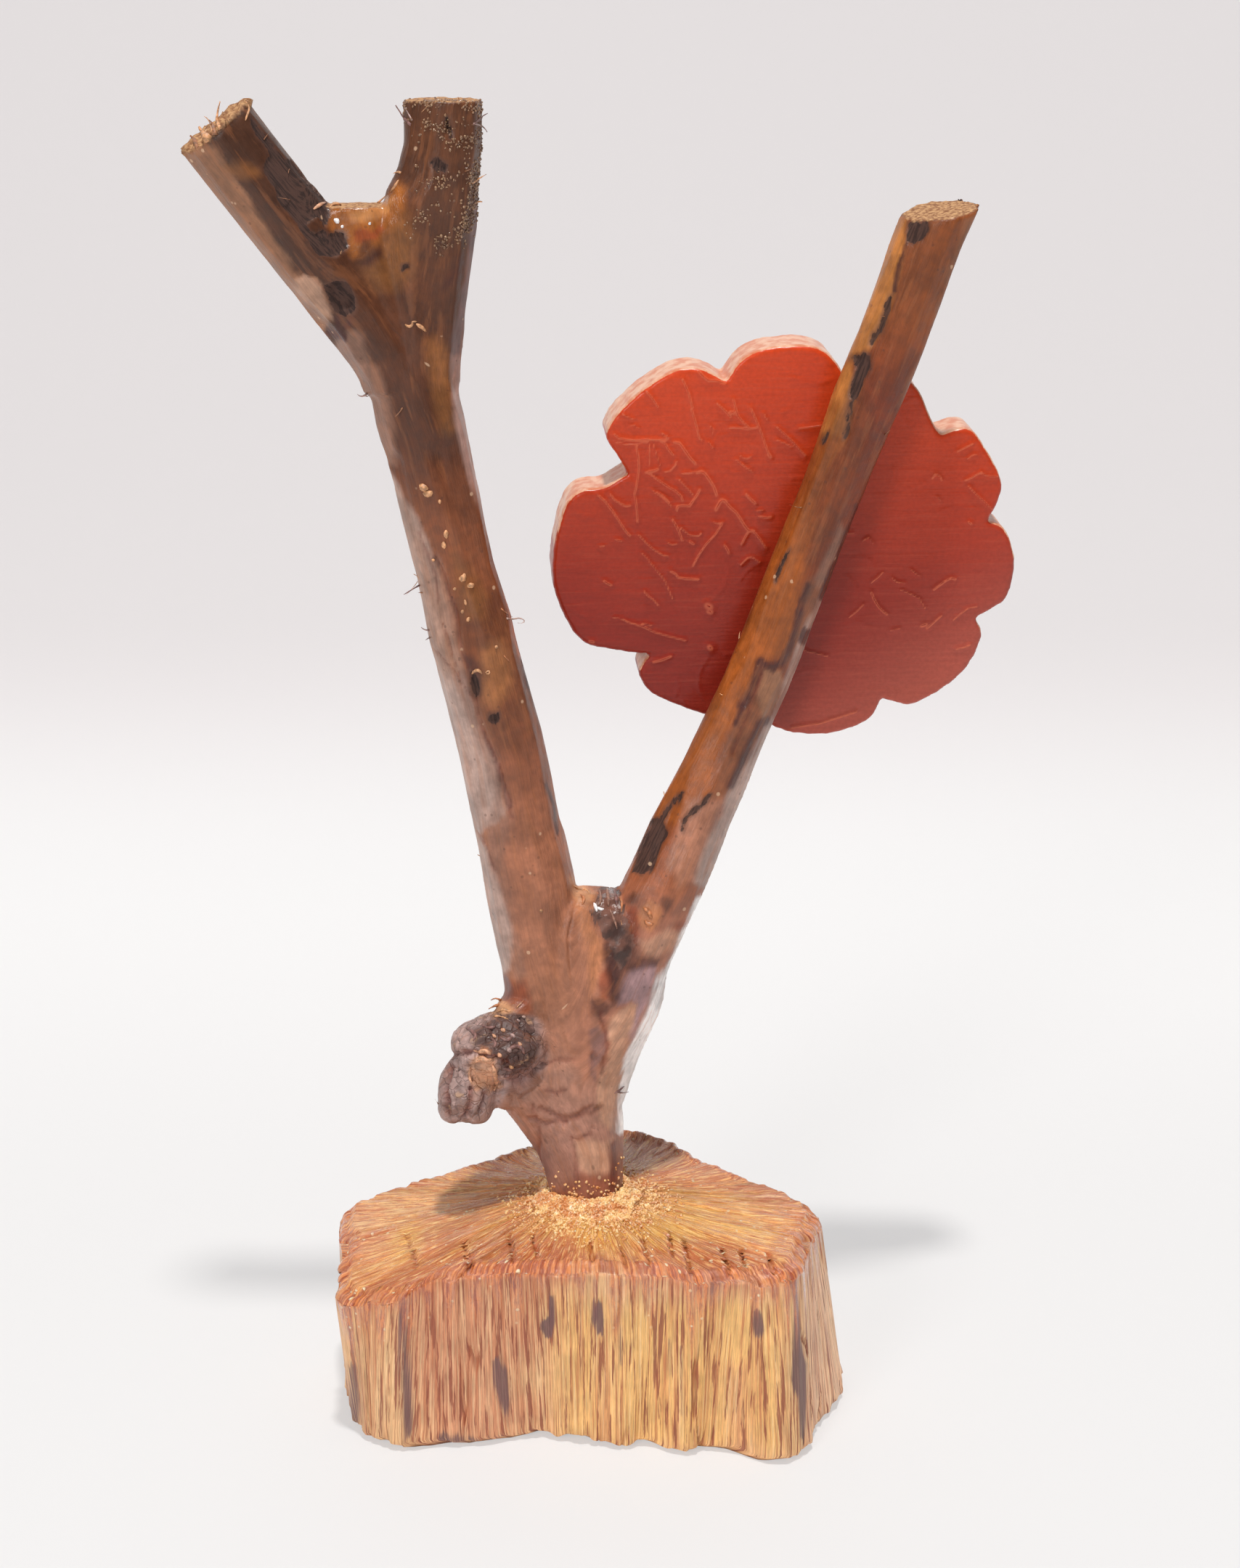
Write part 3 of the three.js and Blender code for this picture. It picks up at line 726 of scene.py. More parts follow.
def block_colours(view, places, top):
    """The block's colour at each point, by chance on the side that the photograph hides."""
    straw, orange = (np.tile(paint(*BLOCK_TONES[name])[:3], (len(top), 1)) for name in ("straw", "top"))
    colours = straw * (1 - top[:, None]) + orange * top[:, None]
    hidden = 1 - smoothstep(-0.2, 0.3, view.facing)
    colours = laid_by_chance(colours, places, hidden * (1 - top), SIDE_CHANCES, BLOCK_TONES)
    colours = laid_by_chance(colours, places, top, TOP_CHANCES, BLOCK_TONES)
    bruise = np.zeros(len(top))
    for tone, softness, strength, outline in BLOCK_AREAS:
        share = view.area(softness, outline)
        # Dark marks are stains, except the two on the left and bottom edges, which are painted shade.
        if "bruise" in tone:
            bruise = np.maximum(bruise, share * (0.7 + 0.3 * (tone == "deep bruise")))
            strength *= 0.5
        colours = laid_over(colours, strength * share, BLOCK_TONES[tone])
    return colours, bruise


def split_wood_material():
    """Straw to tan fibres with red-brown lines. The gouged top is soaked with amber varnish, and pale specks
    on it and the wet rim are painted glints.
    """
    material, tree, shader = new_material("split wood, varnished")
    place = attribute(tree, "fibre", "Vector")
    top, cut, wet = (attribute(tree, name) for name in ("top", "cut", "wet"))
    sizes = ((1.5, 30.0), (0.4, 60.0), (0.2, 30.0), (0.7, 24.0), (0.45, 8.0))
    streak, thread, hair, dash, chopped = (streaks(tree, place, *size) for size in sizes)
    cloud, grit = clouds(tree, place, 160.0, 4.0), clouds(tree, on_object(tree), 1500.0, 3.0)

    tone = shaded(tree, attribute(tree, "tone", "Color"), cloud, 0.3, 0.7, 0.9, 1.1)
    side = stained(tree, tone, streak, 0.5, 0.9, 0.5, (198, 120, 80))
    side = stained(tree, side, thread, 0.4, 0.1, 0.35, (252, 218, 168))
    side = stained(tree, side, thread, 0.62, 0.84, 0.6, (178, 98, 60))
    side = stained(tree, side, dash, 0.68, 0.82, 0.85, (146, 72, 48))
    # The dark marks, stains and painted shade alike, also darken the torn fibres.
    torn = plus(tree, times(tree, maths(tree, "SUBTRACT", thread, 0.5), 0.5), attribute(tree, "bruise"))
    side = stained(tree, side, torn, 0.3, 0.8, 0.85, (112, 80, 80))
    side = shaded(tree, side, hair, 0.15, 0.85, 1.14, 0.84)

    soaked = stained(tree, tone, chopped, 0.55, 0.85, 0.65, (190, 98, 50))
    soaked = stained(tree, soaked, chopped, 0.42, 0.15, 0.55, (255, 218, 146))
    soaked = stained(tree, soaked, thread, 0.66, 0.8, 0.6, (176, 84, 44))

    colour = mixed(tree, top, side, soaked)
    varnished = times(tree, wet, ranged(tree, cloud, 0.3, 0.6, 0.45, 0.95))
    varnished = times(tree, varnished, ranged(tree, dash, 0.1, 0.6, 0.45, 1))
    dripped = mixed(tree, ranged(tree, chopped, 0.3, 0.7), paint(226, 130, 64), paint(166, 76, 42))
    colour = mixed(tree, varnished, colour, dripped)
    colour = stained(tree, colour, cut, 0.2, 0.8, 0.6, (160, 78, 44))
    glossy = maths(tree, "MAXIMUM", top, wet)
    # Painted glints: pale specks on the varnished top and wet rim, which also raise the bump.
    painted_glints = times(tree, specks(tree, place, 0.5, 0.5), glossy)
    painted_glints = times(tree, painted_glints, ranged(tree, cloud, 0.46, 0.58))
    colour = covered(tree, colour, painted_glints, 0.85, paint(255, 238, 196))

    roughness = ranged(tree, glossy, 0.2, 0.9, 0.55, 0.24)
    fibrous = mixed(tree, top, times(tree, thread, 0.5), chopped)
    bumps = plus(tree, times(tree, grit, glossy), times(tree, painted_glints, 0.8))
    coat = ranged(tree, glossy, 0.1, 0.9, 0.1, 1.0)
    shader.inputs["Coat Roughness"].default_value = 0.08
    finish_with(tree, shader, colour, roughness, plus(tree, fibrous, bumps), 0.22 * MM, coat)
    return material


def make_block():
    block, places, masks = split_wood_shape()
    mesh = block.data
    view = PhotoView(mesh)
    grooves = np.max([view.stroke(3, groove) for groove in RIM_GROOVES], axis=0)
    sink = GROOVE_DEPTH * smoothstep(0.2, 0.9, grooves)
    move_points(mesh, points_of(mesh) - normals_of(mesh) * sink[:, None])
    masks["cut"] = np.maximum(masks["cut"], grooves)
    view.loosen(places, 1.2, 8, 0.5, 30)
    points = points_of(mesh)
    reach = np.hypot(points[:, 0], points[:, 1] + 3 * MM) + 2.5 * MM * rough_noise(points, 3 * MM, 72, 2)
    masks["foot grit"] = (normals_of(mesh)[:, 2] > 0.5) * smoothstep(21 * MM, 10 * MM, reach) ** 1.5
    keep_place(mesh, "fibre", places)
    colours, masks["bruise"] = block_colours(view, places, masks["top"])
    keep_colour(mesh, "tone", colours)
    for name, values in masks.items():
        keep_mask(mesh, name, values)
    mesh.materials.append(split_wood_material())
    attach(block, "root")
    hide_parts("base_block")
    return block


# Branch

BRANCH_VOXEL = 0.6 * MM
# Middles of the limbs, in millimetres, from the foot up. The first is trunk, left limb and
# middle stub; the others grow out of it.
LIMB_LINES = {
    "main": [
        (-1, -1, 20), (-1, -1, 43), (-3, 3, 58), (-6, 5.5, 74), (-11, 7.8, 97), (-14.8, 8, 119),
        (-17.6, 7.6, 136), (-21.8, 6.6, 153), (-28.2, 5.2, 183), (-32.5, 4, 206),
        (-31.8, 3, 224), (-29.5, 2.4, 244), (-26.8, 2, 263),
    ],
    "right": [
        (-1, 5, 74), (5, 7, 84), (11, 8.8, 98), (21.2, 13.8, 121), (34.6, 17.8, 150),
        (43.2, 17.1, 174), (54.4, 15, 206), (67.2, 12.1, 242), (70, 11.6, 250),
    ],
    "left_stub": [(-33, 4, 205), (-38.4, 3, 218), (-49.2, 0.5, 232), (-67.9, -4, 258), (-71, -5, 262)],
    "shoot": [(-36, 3.4, 210), (-43, 1, 244)],
    "burl": [(-6, 2, 57), (-14, 0, 71), (-22, -2, 70), (-27, -3, 66)],
}
# How far along the grain each limb starts, in millimetres
LINE_STARTS = {"main": 0, "right": 33, "left_stub": 175, "shoot": 180, "burl": 20}
# The whittled limbs: radius in millimetres, and how many strokes of the knife
LIMB_RADIUS = {"main": 8.3, "right": 6.9, "left_stub": 7.8}
STROKES_PER_LIMB = {"main": 46, "right": 34, "left_stub": 16}
KNIFE_BITE = 0.42 * MM
STROKE_LENGTH = (14 * MM, 34 * MM)

# Colour of the wood by height in millimetres, for the main stem and for the right limb
STEM_TONES = [
    (42, (152, 105, 88)), (60, (166, 122, 105)), (72, (168, 122, 102)), (85, (161, 109, 84)),
    (100, (166, 111, 86)), (120, (163, 107, 82)), (135, (142, 90, 68)), (147, (118, 75, 57)),
    (160, (120, 76, 56)), (178, (138, 84, 60)), (198, (101, 64, 48)), (263, (100, 66, 50)),
]
RIGHT_TONES = [
    (70, (168, 112, 88)), (96, (178, 122, 100)), (112, (150, 88, 60)), (150, (126, 68, 38)),
    (206, (124, 63, 34)), (222, (134, 76, 46)), (250, (134, 78, 48)),
]
# Tones of the wood. The bleached and weathered tones along the limbs' edges are pale whittled wood and also
# painted sheen of reflected light; the whitest tone and the highlight tone are painted highlights.
TONES = {
    "tan": (152, 108, 82), "light tan": (182, 143, 120), "weathered": (150, 112, 94),
    "peeled": (198, 151, 124), "salmon": (195, 130, 105), "bleached": (186, 158, 146),
    "grey edge": (140, 115, 112), "pink edge": (188, 150, 138), "near white": (250, 246, 244),
    "amber": (164, 99, 52), "golden": (166, 110, 72), "dull gold": (142, 93, 58),
    "orange": (158, 90, 50), "light orange": (184, 120, 68), "brown": (118, 70, 48),
    "red brown": (148, 74, 50), "dark brown": (76, 50, 39), "knob": (184, 122, 86),
    "crust": (210, 158, 126), "straw": (204, 152, 112), "plum": (160, 130, 132), "dusk": (134, 100, 94),
    "mauve": (152, 114, 98), "burl": (172, 144, 137), "burl dark": (80, 60, 56),
    "foot": (146, 88, 68), "foot dark": (112, 58, 46), "highlight": (214, 150, 96),
    "crack": (80, 50, 42), "umber": (134, 88, 66), "rosy tan": (174, 124, 102),
}
# The crotch between the stubs, wet with varnish
SADDLE = ("452,283 462,278 500,280 528,274 540,262 548,250 556,256 556,290 540,310 524,322 512,340"
          " 500,352 486,356 478,340 470,322 456,316 448,304 450,290")
# Larger marks, drawn over the photograph in this order: tone, softness in pixels, strength, outline
TONE_AREAS = marks_in(f"""
tan 3 0.92: 249,205 284,193 300,205 312,226 324,245 340,268 350,290 366,312 384,338 396,352 404,372
  420,384 436,384 446,396 452,412 458,430 452,444 440,460 330,330 230,215;
light tan 3 0.9: 404,383 420,380 436,386 444,396 446,410 456,426 460,440 446,436 430,420 412,402;
weathered 5 0.8: 474,462 490,454 500,462 502,480 510,500 522,510 530,530 536,560 540,590 545,640 520,640
  495,545 470,510 452,480;
dull gold 6 0.6: 305,228 320,222 345,224 356,232 358,242 340,246 318,240;
dull gold 12 0.85: 536,300 560,290 572,330 566,380 545,400 520,400 505,385 500,370 520,340;
dull gold 9 0.8: 586,470 600,460 616,480 620,520 622,560 626,590 612,600 600,560 590,520;
dull gold 10 0.7: 625,760 650,790 670,820 668,850 640,850 630,800;
golden 8 0.8: 660,900 690,880 700,905 704,940 698,960 680,975 664,960 668,930;
brown 8 0.8: 622,860 650,855 662,900 655,935 640,930 628,900;
amber 6 0.95: {SADDLE};
highlight 3 0.7: 478,292 500,286 526,282 534,270 540,272 536,290 520,300 500,302 482,304;
dark brown 4 0.7: 446,310 458,322 470,334 474,350 466,352 452,340 444,324;
red brown 3 0.8: 486,318 498,312 512,316 522,308 528,314 516,328 500,334 488,330;
dark brown 3 0.6: 500,330 512,330 510,342 500,352 494,346;
grey edge 4 0.85: 655,280 648,300 646,340 641,385 634,400 630,430 625,455 620,490 662,490 700,400
  700,280;
pink edge 4 0.85: 620,490 622,530 625,575 634,612 646,655 656,690 668,722 678,752 730,752 710,640
  680,560 662,490;
bleached 3 0.9: 528,628 545,660 560,690 575,715 588,745 600,790 614,835 626,880 634,915 646,952 658,985
  670,1022 683,1046 690,1080 700,1112 690,1130 668,1140 660,1150 672,1172 682,1200 692,1240 700,1270
  704,1300 706,1334 690,1346 640,1346 620,1250 580,1100 540,950 510,800 485,640;
mauve 4 0.7: 590,760 606,772 626,842 640,905 660,970 684,1048 702,1113 690,1110 668,1060 645,1000
  625,940 610,880 598,820;
tan 12 0.45: 515,628 560,690 590,745 616,835 640,925 600,935 560,840 520,720;
mauve 6 0.6: 690,1080 706,1125 700,1150 690,1180 700,1230 712,1290 722,1340 708,1345 700,1270 682,1200
  664,1150;
salmon 2 0.85: 690,794 698,795 705,830 712,870 724,905 728,935 716,905 706,880 700,850 694,820;
light orange 5 0.95: 1248,300 1248,340 1238,375 1230,405 1222,440 1205,470 1190,485 1172,500 1176,540
  1164,600 1130,650 1090,650 1140,540 1170,450 1200,380 1230,300;
tan 3 0.45: 1330,300 1324,325 1316,348 1308,372 1302,390 1296,408 1288,430 1280,450 1272,475 1262,500
  1250,520 1244,540 1236,560 1270,565 1310,480 1340,400 1365,340 1370,295;
orange 6 0.9: 1164,600 1140,640 1125,690 1118,740 1108,790 1100,830 1096,870 1080,905 1045,915 1035,950
  1015,985 1000,1010 990,1040 985,1070 978,1095 955,1110 945,1125 935,1135 890,1135 910,1090 970,990
  1030,860 1070,740 1100,640 1125,600;
brown 10 0.6: 1180,524 1150,560 1112,650 1095,760 1110,790 1150,720 1180,640 1200,560;
umber 6 0.75: 1112,801 1151,787 1133,842 1105,892 1083,915 1076,905 1094,870 1102,835;
umber 6 0.75: 1046,919 1030,950 1015,978 996,1015 983,1078 974,1105 1000,1105 1010,1096 1033,1042
  1055,996 1060,985 1050,970 1040,950;
rosy tan 7 0.75: 946,1105 1000,1100 985,1160 960,1210 935,1225 920,1190 936,1140;
weathered 4 0.7: 1158,722 1164,735 1150,770 1136,800 1126,812 1124,798 1138,765;
tan 3 0.9: 1050,924 1062,920 1078,926 1080,940 1070,965 1058,985 1052,992 1046,975 1042,950;
bleached 4 0.85: 1136,812 1122,845 1112,865 1104,885 1096,905 1088,925 1080,945 1074,965 1066,985
  1054,1000 1046,1020 1038,1038 1026,1056 1014,1075 1002,1095 996,1120 985,1140 976,1160 962,1190
  955,1215 1000,1235 1070,1120 1130,1000 1190,860 1180,800;
near white 3 0.95: 960,1235 950,1270 935,1290 928,1310 918,1330 905,1350 900,1370 892,1390 885,1405
  875,1425 865,1440 858,1460 855,1480 853,1500 850,1562 885,1562 900,1500 940,1400 980,1310 1010,1235;
knob 5 0.8: 795,1200 805,1215 820,1228 826,1236 818,1250 812,1262 818,1280 828,1292 832,1310 828,1340
  820,1360 812,1370 808,1340 806,1300 796,1270 790,1240 788,1215;
plum 3 0.9: 868,1336 888,1324 902,1322 908,1335 904,1355 896,1378 884,1400 876,1420 868,1432 866,1420
  874,1400 878,1384 868,1380 852,1384 848,1372 856,1350;
peeled 3 0.9: 880,1380 868,1384 852,1392 842,1402 836,1420 842,1440 838,1460 828,1475 822,1500 826,1540
  846,1560 852,1500 858,1450 866,1430 874,1410 876,1395;
peeled 4 0.7: 880,1296 900,1290 920,1280 940,1285 935,1300 915,1312 890,1316;
knob 3 0.9: 893,1238 904,1246 909,1260 904,1275 893,1282 882,1275 877,1260 882,1246;
red brown 4 0.9: 862,1250 876,1250 880,1270 878,1300 870,1290 864,1270;
red brown 3 0.7: 828,1340 838,1330 842,1350 842,1375 832,1380 826,1372 824,1356;
red brown 4 0.6: 930,1272 942,1266 946,1272 936,1280 926,1278;
burl dark 4 0.7: 862,1236 872,1228 880,1236 878,1246 866,1248 858,1244;
burl dark 4 0.7: 908,1240 920,1236 930,1240 924,1252 914,1262 910,1252;
dusk 3 0.8: 814,1418 826,1416 838,1430 836,1445 830,1460 822,1472 820,1490 816,1480 812,1462 816,1450
  812,1436;
mauve 8 0.7: 756,1478 775,1470 795,1476 800,1488 785,1496 762,1492;
dusk 9 0.85: 700,1456 722,1456 740,1470 730,1492 708,1503 692,1498 694,1475;
red brown 6 0.7: 700,1350 722,1350 728,1370 732,1395 720,1396 706,1385 698,1370;
dusk 3 0.85: 676,1344 694,1342 706,1354 704,1378 690,1378 676,1366;
dusk 7 0.8: 726,1565 744,1578 756,1600 762,1620 758,1640 744,1644 738,1620 730,1596;
peeled 4 0.85: 792,1572 845,1568 846,1590 842,1616 806,1618 798,1610 794,1590;
foot 6 0.8: 770,1640 800,1620 846,1612 850,1660 770,1660;
burl 4 0.95: 600,1440 640,1400 668,1400 672,1440 690,1450 700,1500 680,1560 600,1560;
burl dark 5 0.9: 650,1418 668,1406 690,1397 716,1395 734,1410 747,1440 738,1464 712,1478 690,1480
  684,1462 668,1448 652,1440;
dark brown 4 0.8: 814,1376 824,1374 836,1380 842,1386 838,1396 826,1402 814,1396;
dark brown 4 0.85: 836,1296 846,1308 850,1330 853,1350 851,1372 843,1384 841,1368 838,1340 832,1320
  830,1300;
dark brown 4 0.75: 862,1334 874,1322 894,1314 912,1318 906,1328 886,1332 872,1338;
dark brown 9 0.8: 820,1262 832,1290 836,1330 842,1384 856,1384 862,1345 880,1320 880,1290 868,1262;
straw 4 0.7: 784,1208 796,1206 806,1222 820,1230 812,1242 798,1244 788,1230;
foot dark 3 0.85: 839,1572 848,1572 849,1610 848,1642 841,1642 840,1600;
straw 3 0.9: 672,1392 680,1376 696,1380 706,1390 700,1398 680,1400;
crust 3 0.9: 650,1462 660,1452 668,1462 680,1462 683,1480 679,1490 690,1500 676,1506 668,1498 656,1508
  651,1492 644,1478;
knob 2 0.8: 656,1440 672,1442 678,1450 664,1455;
dark brown 5 0.8: 521,338 524,350 516,362 508,370 497,368 498,362 508,355 515,345;
dark brown 6 0.7: 636,352 638,360 634,375 628,388 618,395 612,396 616,384 624,368 630,356;
dark brown 5 0.6: 1300,398 1292,404 1284,412 1286,402 1296,392;
dark brown 6 0.7: 638,898 653,903 667,925 668,955 660,974 648,962 640,930;
dark brown 6 0.4: 680,816 689,830 680,844 671,830
""")
# Bark left in the hollows
BARK_AREAS = [
    "344,160 352,168 372,196 386,212 406,226 420,243 436,262 449,276 455,290 452,303 446,313"
    " 452,322 462,318 474,326 478,340 468,352 452,356 436,352 424,341 418,326 412,312 404,300"
    " 392,288 382,270 378,256 370,246 363,234 362,226 370,216 366,205 352,186 345,172",
    "446,394 458,387 474,386 482,396 488,410 492,424 488,434 476,436 462,430 452,414",
    "613,165 617,162 622,172 625,188 624,194 618,190 613,178",
    "596,216 606,218 612,224 618,226 614,234 604,236 598,230 590,224",
    "554,366 562,366 562,374 554,374",
    "1250,305 1264,304 1280,304 1277,318 1268,328 1258,336 1250,334 1250,318",
    "1229,404 1226,416 1226,432 1222,446 1214,460 1206,466 1200,474 1196,474 1199,460 1203,458"
    " 1210,448 1213,436 1218,420 1224,408",
    "1176,492 1190,486 1200,490 1198,506 1190,520 1184,534 1178,546 1172,550 1170,540 1174,524"
    " 1178,508 1174,498",
    "1172,550 1172,566 1168,584 1166,600 1158,604 1158,596 1164,580 1168,562",
    "1140,590 1136,602 1132,610 1134,598",
    "1088,756 1084,772 1076,786 1070,804 1068,800 1072,784 1080,766",
    "940,1090 934,1102 924,1118 914,1132 918,1148 908,1160 902,1180 896,1198 884,1204 872,1200"
    " 878,1176 888,1150 896,1132 912,1120 926,1104",
    "980,1095 974,1106 960,1118 948,1130 942,1150 940,1146 940,1130 950,1118 964,1108 974,1096",
    "645,922 656,926 664,938 662,950 656,962 648,958 646,944",
    "676,982 684,981 688,990 682,996 674,994",
]
BARK_GAP = "434,296 443,302 444,312 434,320 425,313 424,302"
# Bark in lines: half width in pixels, and the pixels along them
BARK_LINES = marks_in("""
3.5: 452,455 462,462 474,462; 3: 468,438 466,452 474,464; 2.5: 484,440 478,452;
2: 1250,336 1244,352 1238,368 1234,385 1231,400; 2.5: 1113,806 1103,830 1100,848;
4.5: 1101,846 1098,866 1088,892 1076,914; 4: 1076,914 1062,922 1046,914;
5: 1046,912 1042,930 1034,952 1022,970; 3: 1022,970 1010,996; 2.5: 1112,868 1106,884;
3.5: 1182,698 1174,722 1164,748 1152,778 1142,800 1134,822;
4.5: 1055,994 1046,998 1038,1016 1030,1036 1020,1054 1012,1070 1006,1082; 2.5: 720,905 724,925 728,945;
2: 752,1080 760,1105 768,1145
""")
KNOT = ("816,1248 822,1232 826,1224 838,1222 846,1220 854,1226 858,1240 858,1256 866,1272"
        " 872,1290 874,1306 868,1318 862,1330 852,1332 846,1320 842,1306 836,1296 828,1286"
        " 820,1270 813,1256")
WET_KNOT = "816,1248 822,1232 838,1222 854,1226 858,1256 846,1272 826,1264"
# Holes and cracks: depth in millimetres and outline
HOLES = marks_in("""
1.0: 452,394 462,390 474,390 480,400 484,412 486,424 478,430 464,424 456,410;
0.9: 614,168 618,166 622,178 622,190 618,188 614,178;
0.9: 704,1510 714,1510 716,1520 706,1522;
0.6: 814,1548 822,1548 822,1556 814,1556;
0.5: 834,1298 844,1310 848,1340 850,1370 842,1380 840,1350 834,1320;
0.8: 816,1450 824,1448 822,1470 818,1480 814,1464
""")
# Wrinkles pressed into the skin, darkened with painted shade: half width in pixels, depth in millimetres,
# pixels along them
WRINKLES = marks_in("""
3 0.4: 744,1524 772,1540 800,1534 815,1522; 3 0.4: 728,1540 752,1546 778,1545;
3 0.4: 778,1545 800,1538 828,1524; 2.5 0.35: 752,1500 762,1506 778,1502;
2.5 0.35: 788,1572 802,1568 816,1560; 2.5 0.3: 746,1468 765,1460 790,1462;
2.5 0.3: 734,1520 742,1560 744,1600; 3 0.5: 828,1395 838,1440 830,1480;
3 0.35: 1046,930 1030,985 1010,1035; 2.5 0.3: 790,1574 795,1600 797,1628;
3.5 1.1: 620,1468 614,1500 620,1532; 4 1.2: 650,1498 645,1522 641,1540; 3 0.8: 668,1506 662,1528;
3 1.0: 628,1454 646,1450 664,1454 684,1460 700,1470; 3 0.6: 690,794 698,815 705,845 716,885 726,920;
2.5 0.6: 596,766 612,800 628,845 633,889 650,940 657,966 668,1010 682,1048 695,1085 702,1113;
1.5 0.3: 575,730 586,760 596,790 604,830; 1.5 0.3: 612,860 622,900 634,935;
1.2 0.25: 600,893 610,905 625,925 640,950 650,962 655,980 662,1000 670,1022 680,1046;
1.5 0.25: 684,1050 690,1075 694,1100 706,1130; 1.5 0.3: 657,1145 668,1160 682,1196
""")
# Sawdust that stuck to the middle stub: half width in pixels, pixels along it
SAWDUST_TRAILS = marks_in("""
13: 604,222 614,238 596,256 592,280 580,298 575,316 592,328 612,330 624,326;
10: 657,236 653,262 647,290 640,312 632,326; 6: 660,150 668,158 666,190 664,236;
5: 545,146 600,145 668,146; 9: 590,176 612,182 628,170; 8: 620,196 640,200 652,190
""")
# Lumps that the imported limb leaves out: middle and halves in millimetres, turn in degrees
BRANCH_LUMPS = [
    ((-28.2, -3, 63.8), (3.2, 4.6, 3.8), 0), ((-22.9, -3, 63.5), (3.2, 4.6, 3.8), 0),
    ((-17.2, -1, 65.6), (3.4, 4.5, 3.6), 0), ((-13.6, 0.5, 68.5), (4.2, 4.5, 4.2), 30),
    ((3.6, 2.2, 99.5), (2.3, 2.2, 3.2), -10), ((5.2, 1.2, 95.5), (2.2, 2.4, 3.6), 20),
    ((7.6, 1.8, 90.5), (1.9, 2.0, 3.6), 20), ((11.8, 3.0, 96.0), (2.1, 2.0, 2.7), 0),
    ((0.4, 1.0, 92.5), (1.5, 2.2, 5.0), 12),
]
# The burl itself: middles and halves in millimetres
BURL_LUMPS = [((-18.6, -1, 75.8), (9.8, 8.4, 7.2)), ((-25.4, -2.5, 67.2), (5.9, 6.7, 7.6))]
# The neck above the burl: middle and halves in millimetres of the place that is smoothed
NECK_EASED = ((-12.5, 1, 90), (9.5, 12, 8.5))
NECK_PASSES = 60
NECK_REACH = (85.5 * MM, 97 * MM, 9.1 * MM)  # lower and upper height, and most reach of the stem
CUT_HEIGHTS = {"middle": 263 * MM, "shoot": 244 * MM}
# Patches by chance on the branch's hidden side, and low down, as laid_by_chance takes them
WOOD_CHANCES = [
    ("tan", 6, 45, 0.25, 0.5, 0.8, 401), ("dull gold", 5, 30, 0.3, 0.55, 0.6, 402),
    ("brown", 4, 24, 0.35, 0.6, 0.6, 403),
]
LOW_CHANCES = [("bleached", 7, 50, 0.2, 0.35, 0.9, 405)]


def line_frames(corners):
    """Starts, directions, lengths and side directions of a middle line's stretches."""
    corners = np.array(corners, float) * MM
    legs = np.diff(corners, axis=0)
    length = np.linalg.norm(legs, axis=1)
    ahead = legs / length[:, None]
    deep = np.array([0, 1, 0]) - ahead * ahead[:, 1:2]
    deep /= np.linalg.norm(deep, axis=1)[:, None]
    wide = np.cross(deep, ahead)
    return corners[:-1], ahead, length, wide, deep


def place_on_line(points, corners):
    """Sideways, backwards and along places of points that go with a limb's middle line."""
    starts, ahead, length, wide, deep = line_frames(corners)
    before = np.concatenate([[0], np.cumsum(length)[:-1]])
    best = np.full(len(points), 1e9)
    place = np.zeros((len(points), 3))
    for k in range(len(starts)):
        offset = points - starts[k]
        along = np.clip(offset @ ahead[k], 0, length[k])
        gap = offset - along[:, None] * ahead[k]
        distance = np.linalg.norm(gap, axis=1)
        free = offset @ ahead[k] if k in (0, len(starts) - 1) else along
        here = np.column_stack([offset @ wide[k], offset @ deep[k], before[k] + free])
        nearer = distance < best
        place[nearer] = here[nearer]
        best = np.minimum(best, distance)
    return place, best


def grain_of(points):
    """Places in the wood whose third axis follows the limbs, eased over at the forks, and how
    much of each point belongs to each limb."""
    total, weights, shares = np.zeros((len(points), 3)), np.zeros(len(points)), {}
    for name, corners in LIMB_LINES.items():
        place, distance = place_on_line(points, corners)
        place[:, 2] += LINE_STARTS[name] * MM
        shares[name] = np.exp(-distance / (1.6 * MM)) + 1e-12
        total += place * shares[name][:, None]
        weights += shares[name]
    return total / weights[:, None], {name: share / weights for name, share in shares.items()}


def whittle(points, shares, draws):
    """Shaves shallow flats along the limbs, as strokes of a knife."""
    for name, strokes in STROKES_PER_LIMB.items():
        corners = LIMB_LINES[name]
        place, distance = place_on_line(points, corners)
        starts, ahead, length, wide, deep = line_frames(corners)
        before = np.concatenate([[0], np.cumsum(length)])
        radius = LIMB_RADIUS[name] * MM
        own = smoothstep(0.55, 0.95, shares[name])
        own *= smoothstep(1.4 * radius, 1.15 * radius, distance)
        for _ in range(strokes):
            middle = draws.uniform(0.12, 0.97) * before[-1]
            turn = draws.uniform(0, 2 * math.pi)
            reach = draws.uniform(*STROKE_LENGTH)
            k = min(np.searchsorted(before, middle) - 1, len(starts) - 1)
            facing = wide[k] * math.cos(turn) + deep[k] * math.sin(turn)
            along = place[:, 2] - middle
            close = (np.abs(along) < 1.6 * reach) & (own > 0)
            outward = place[:, 0] * math.cos(turn) + place[:, 1] * math.sin(turn)
            skin = np.max(outward[close & (np.abs(along) < 3 * MM) & (own > 0.9)], initial=0)
            if skin == 0:
                continue
            level = skin - KNIFE_BITE * draws.uniform(0.5, 1.2)
            level = level + 1.1 * MM * (along / reach) ** 2
            excess = np.where(close, np.clip(outward - level, 0, 1.5 * MM), 0) * own
            points = points - excess[:, None] * facing
    return points


def in_lump(points, middle, halves):
    """How deep in an oval lump points lie: 1 in its middle, 0 at its skin and beyond."""
    spread = (points - np.array(middle) * MM) / (np.array(halves) * MM)
    return 1 - np.linalg.norm(spread, axis=1)


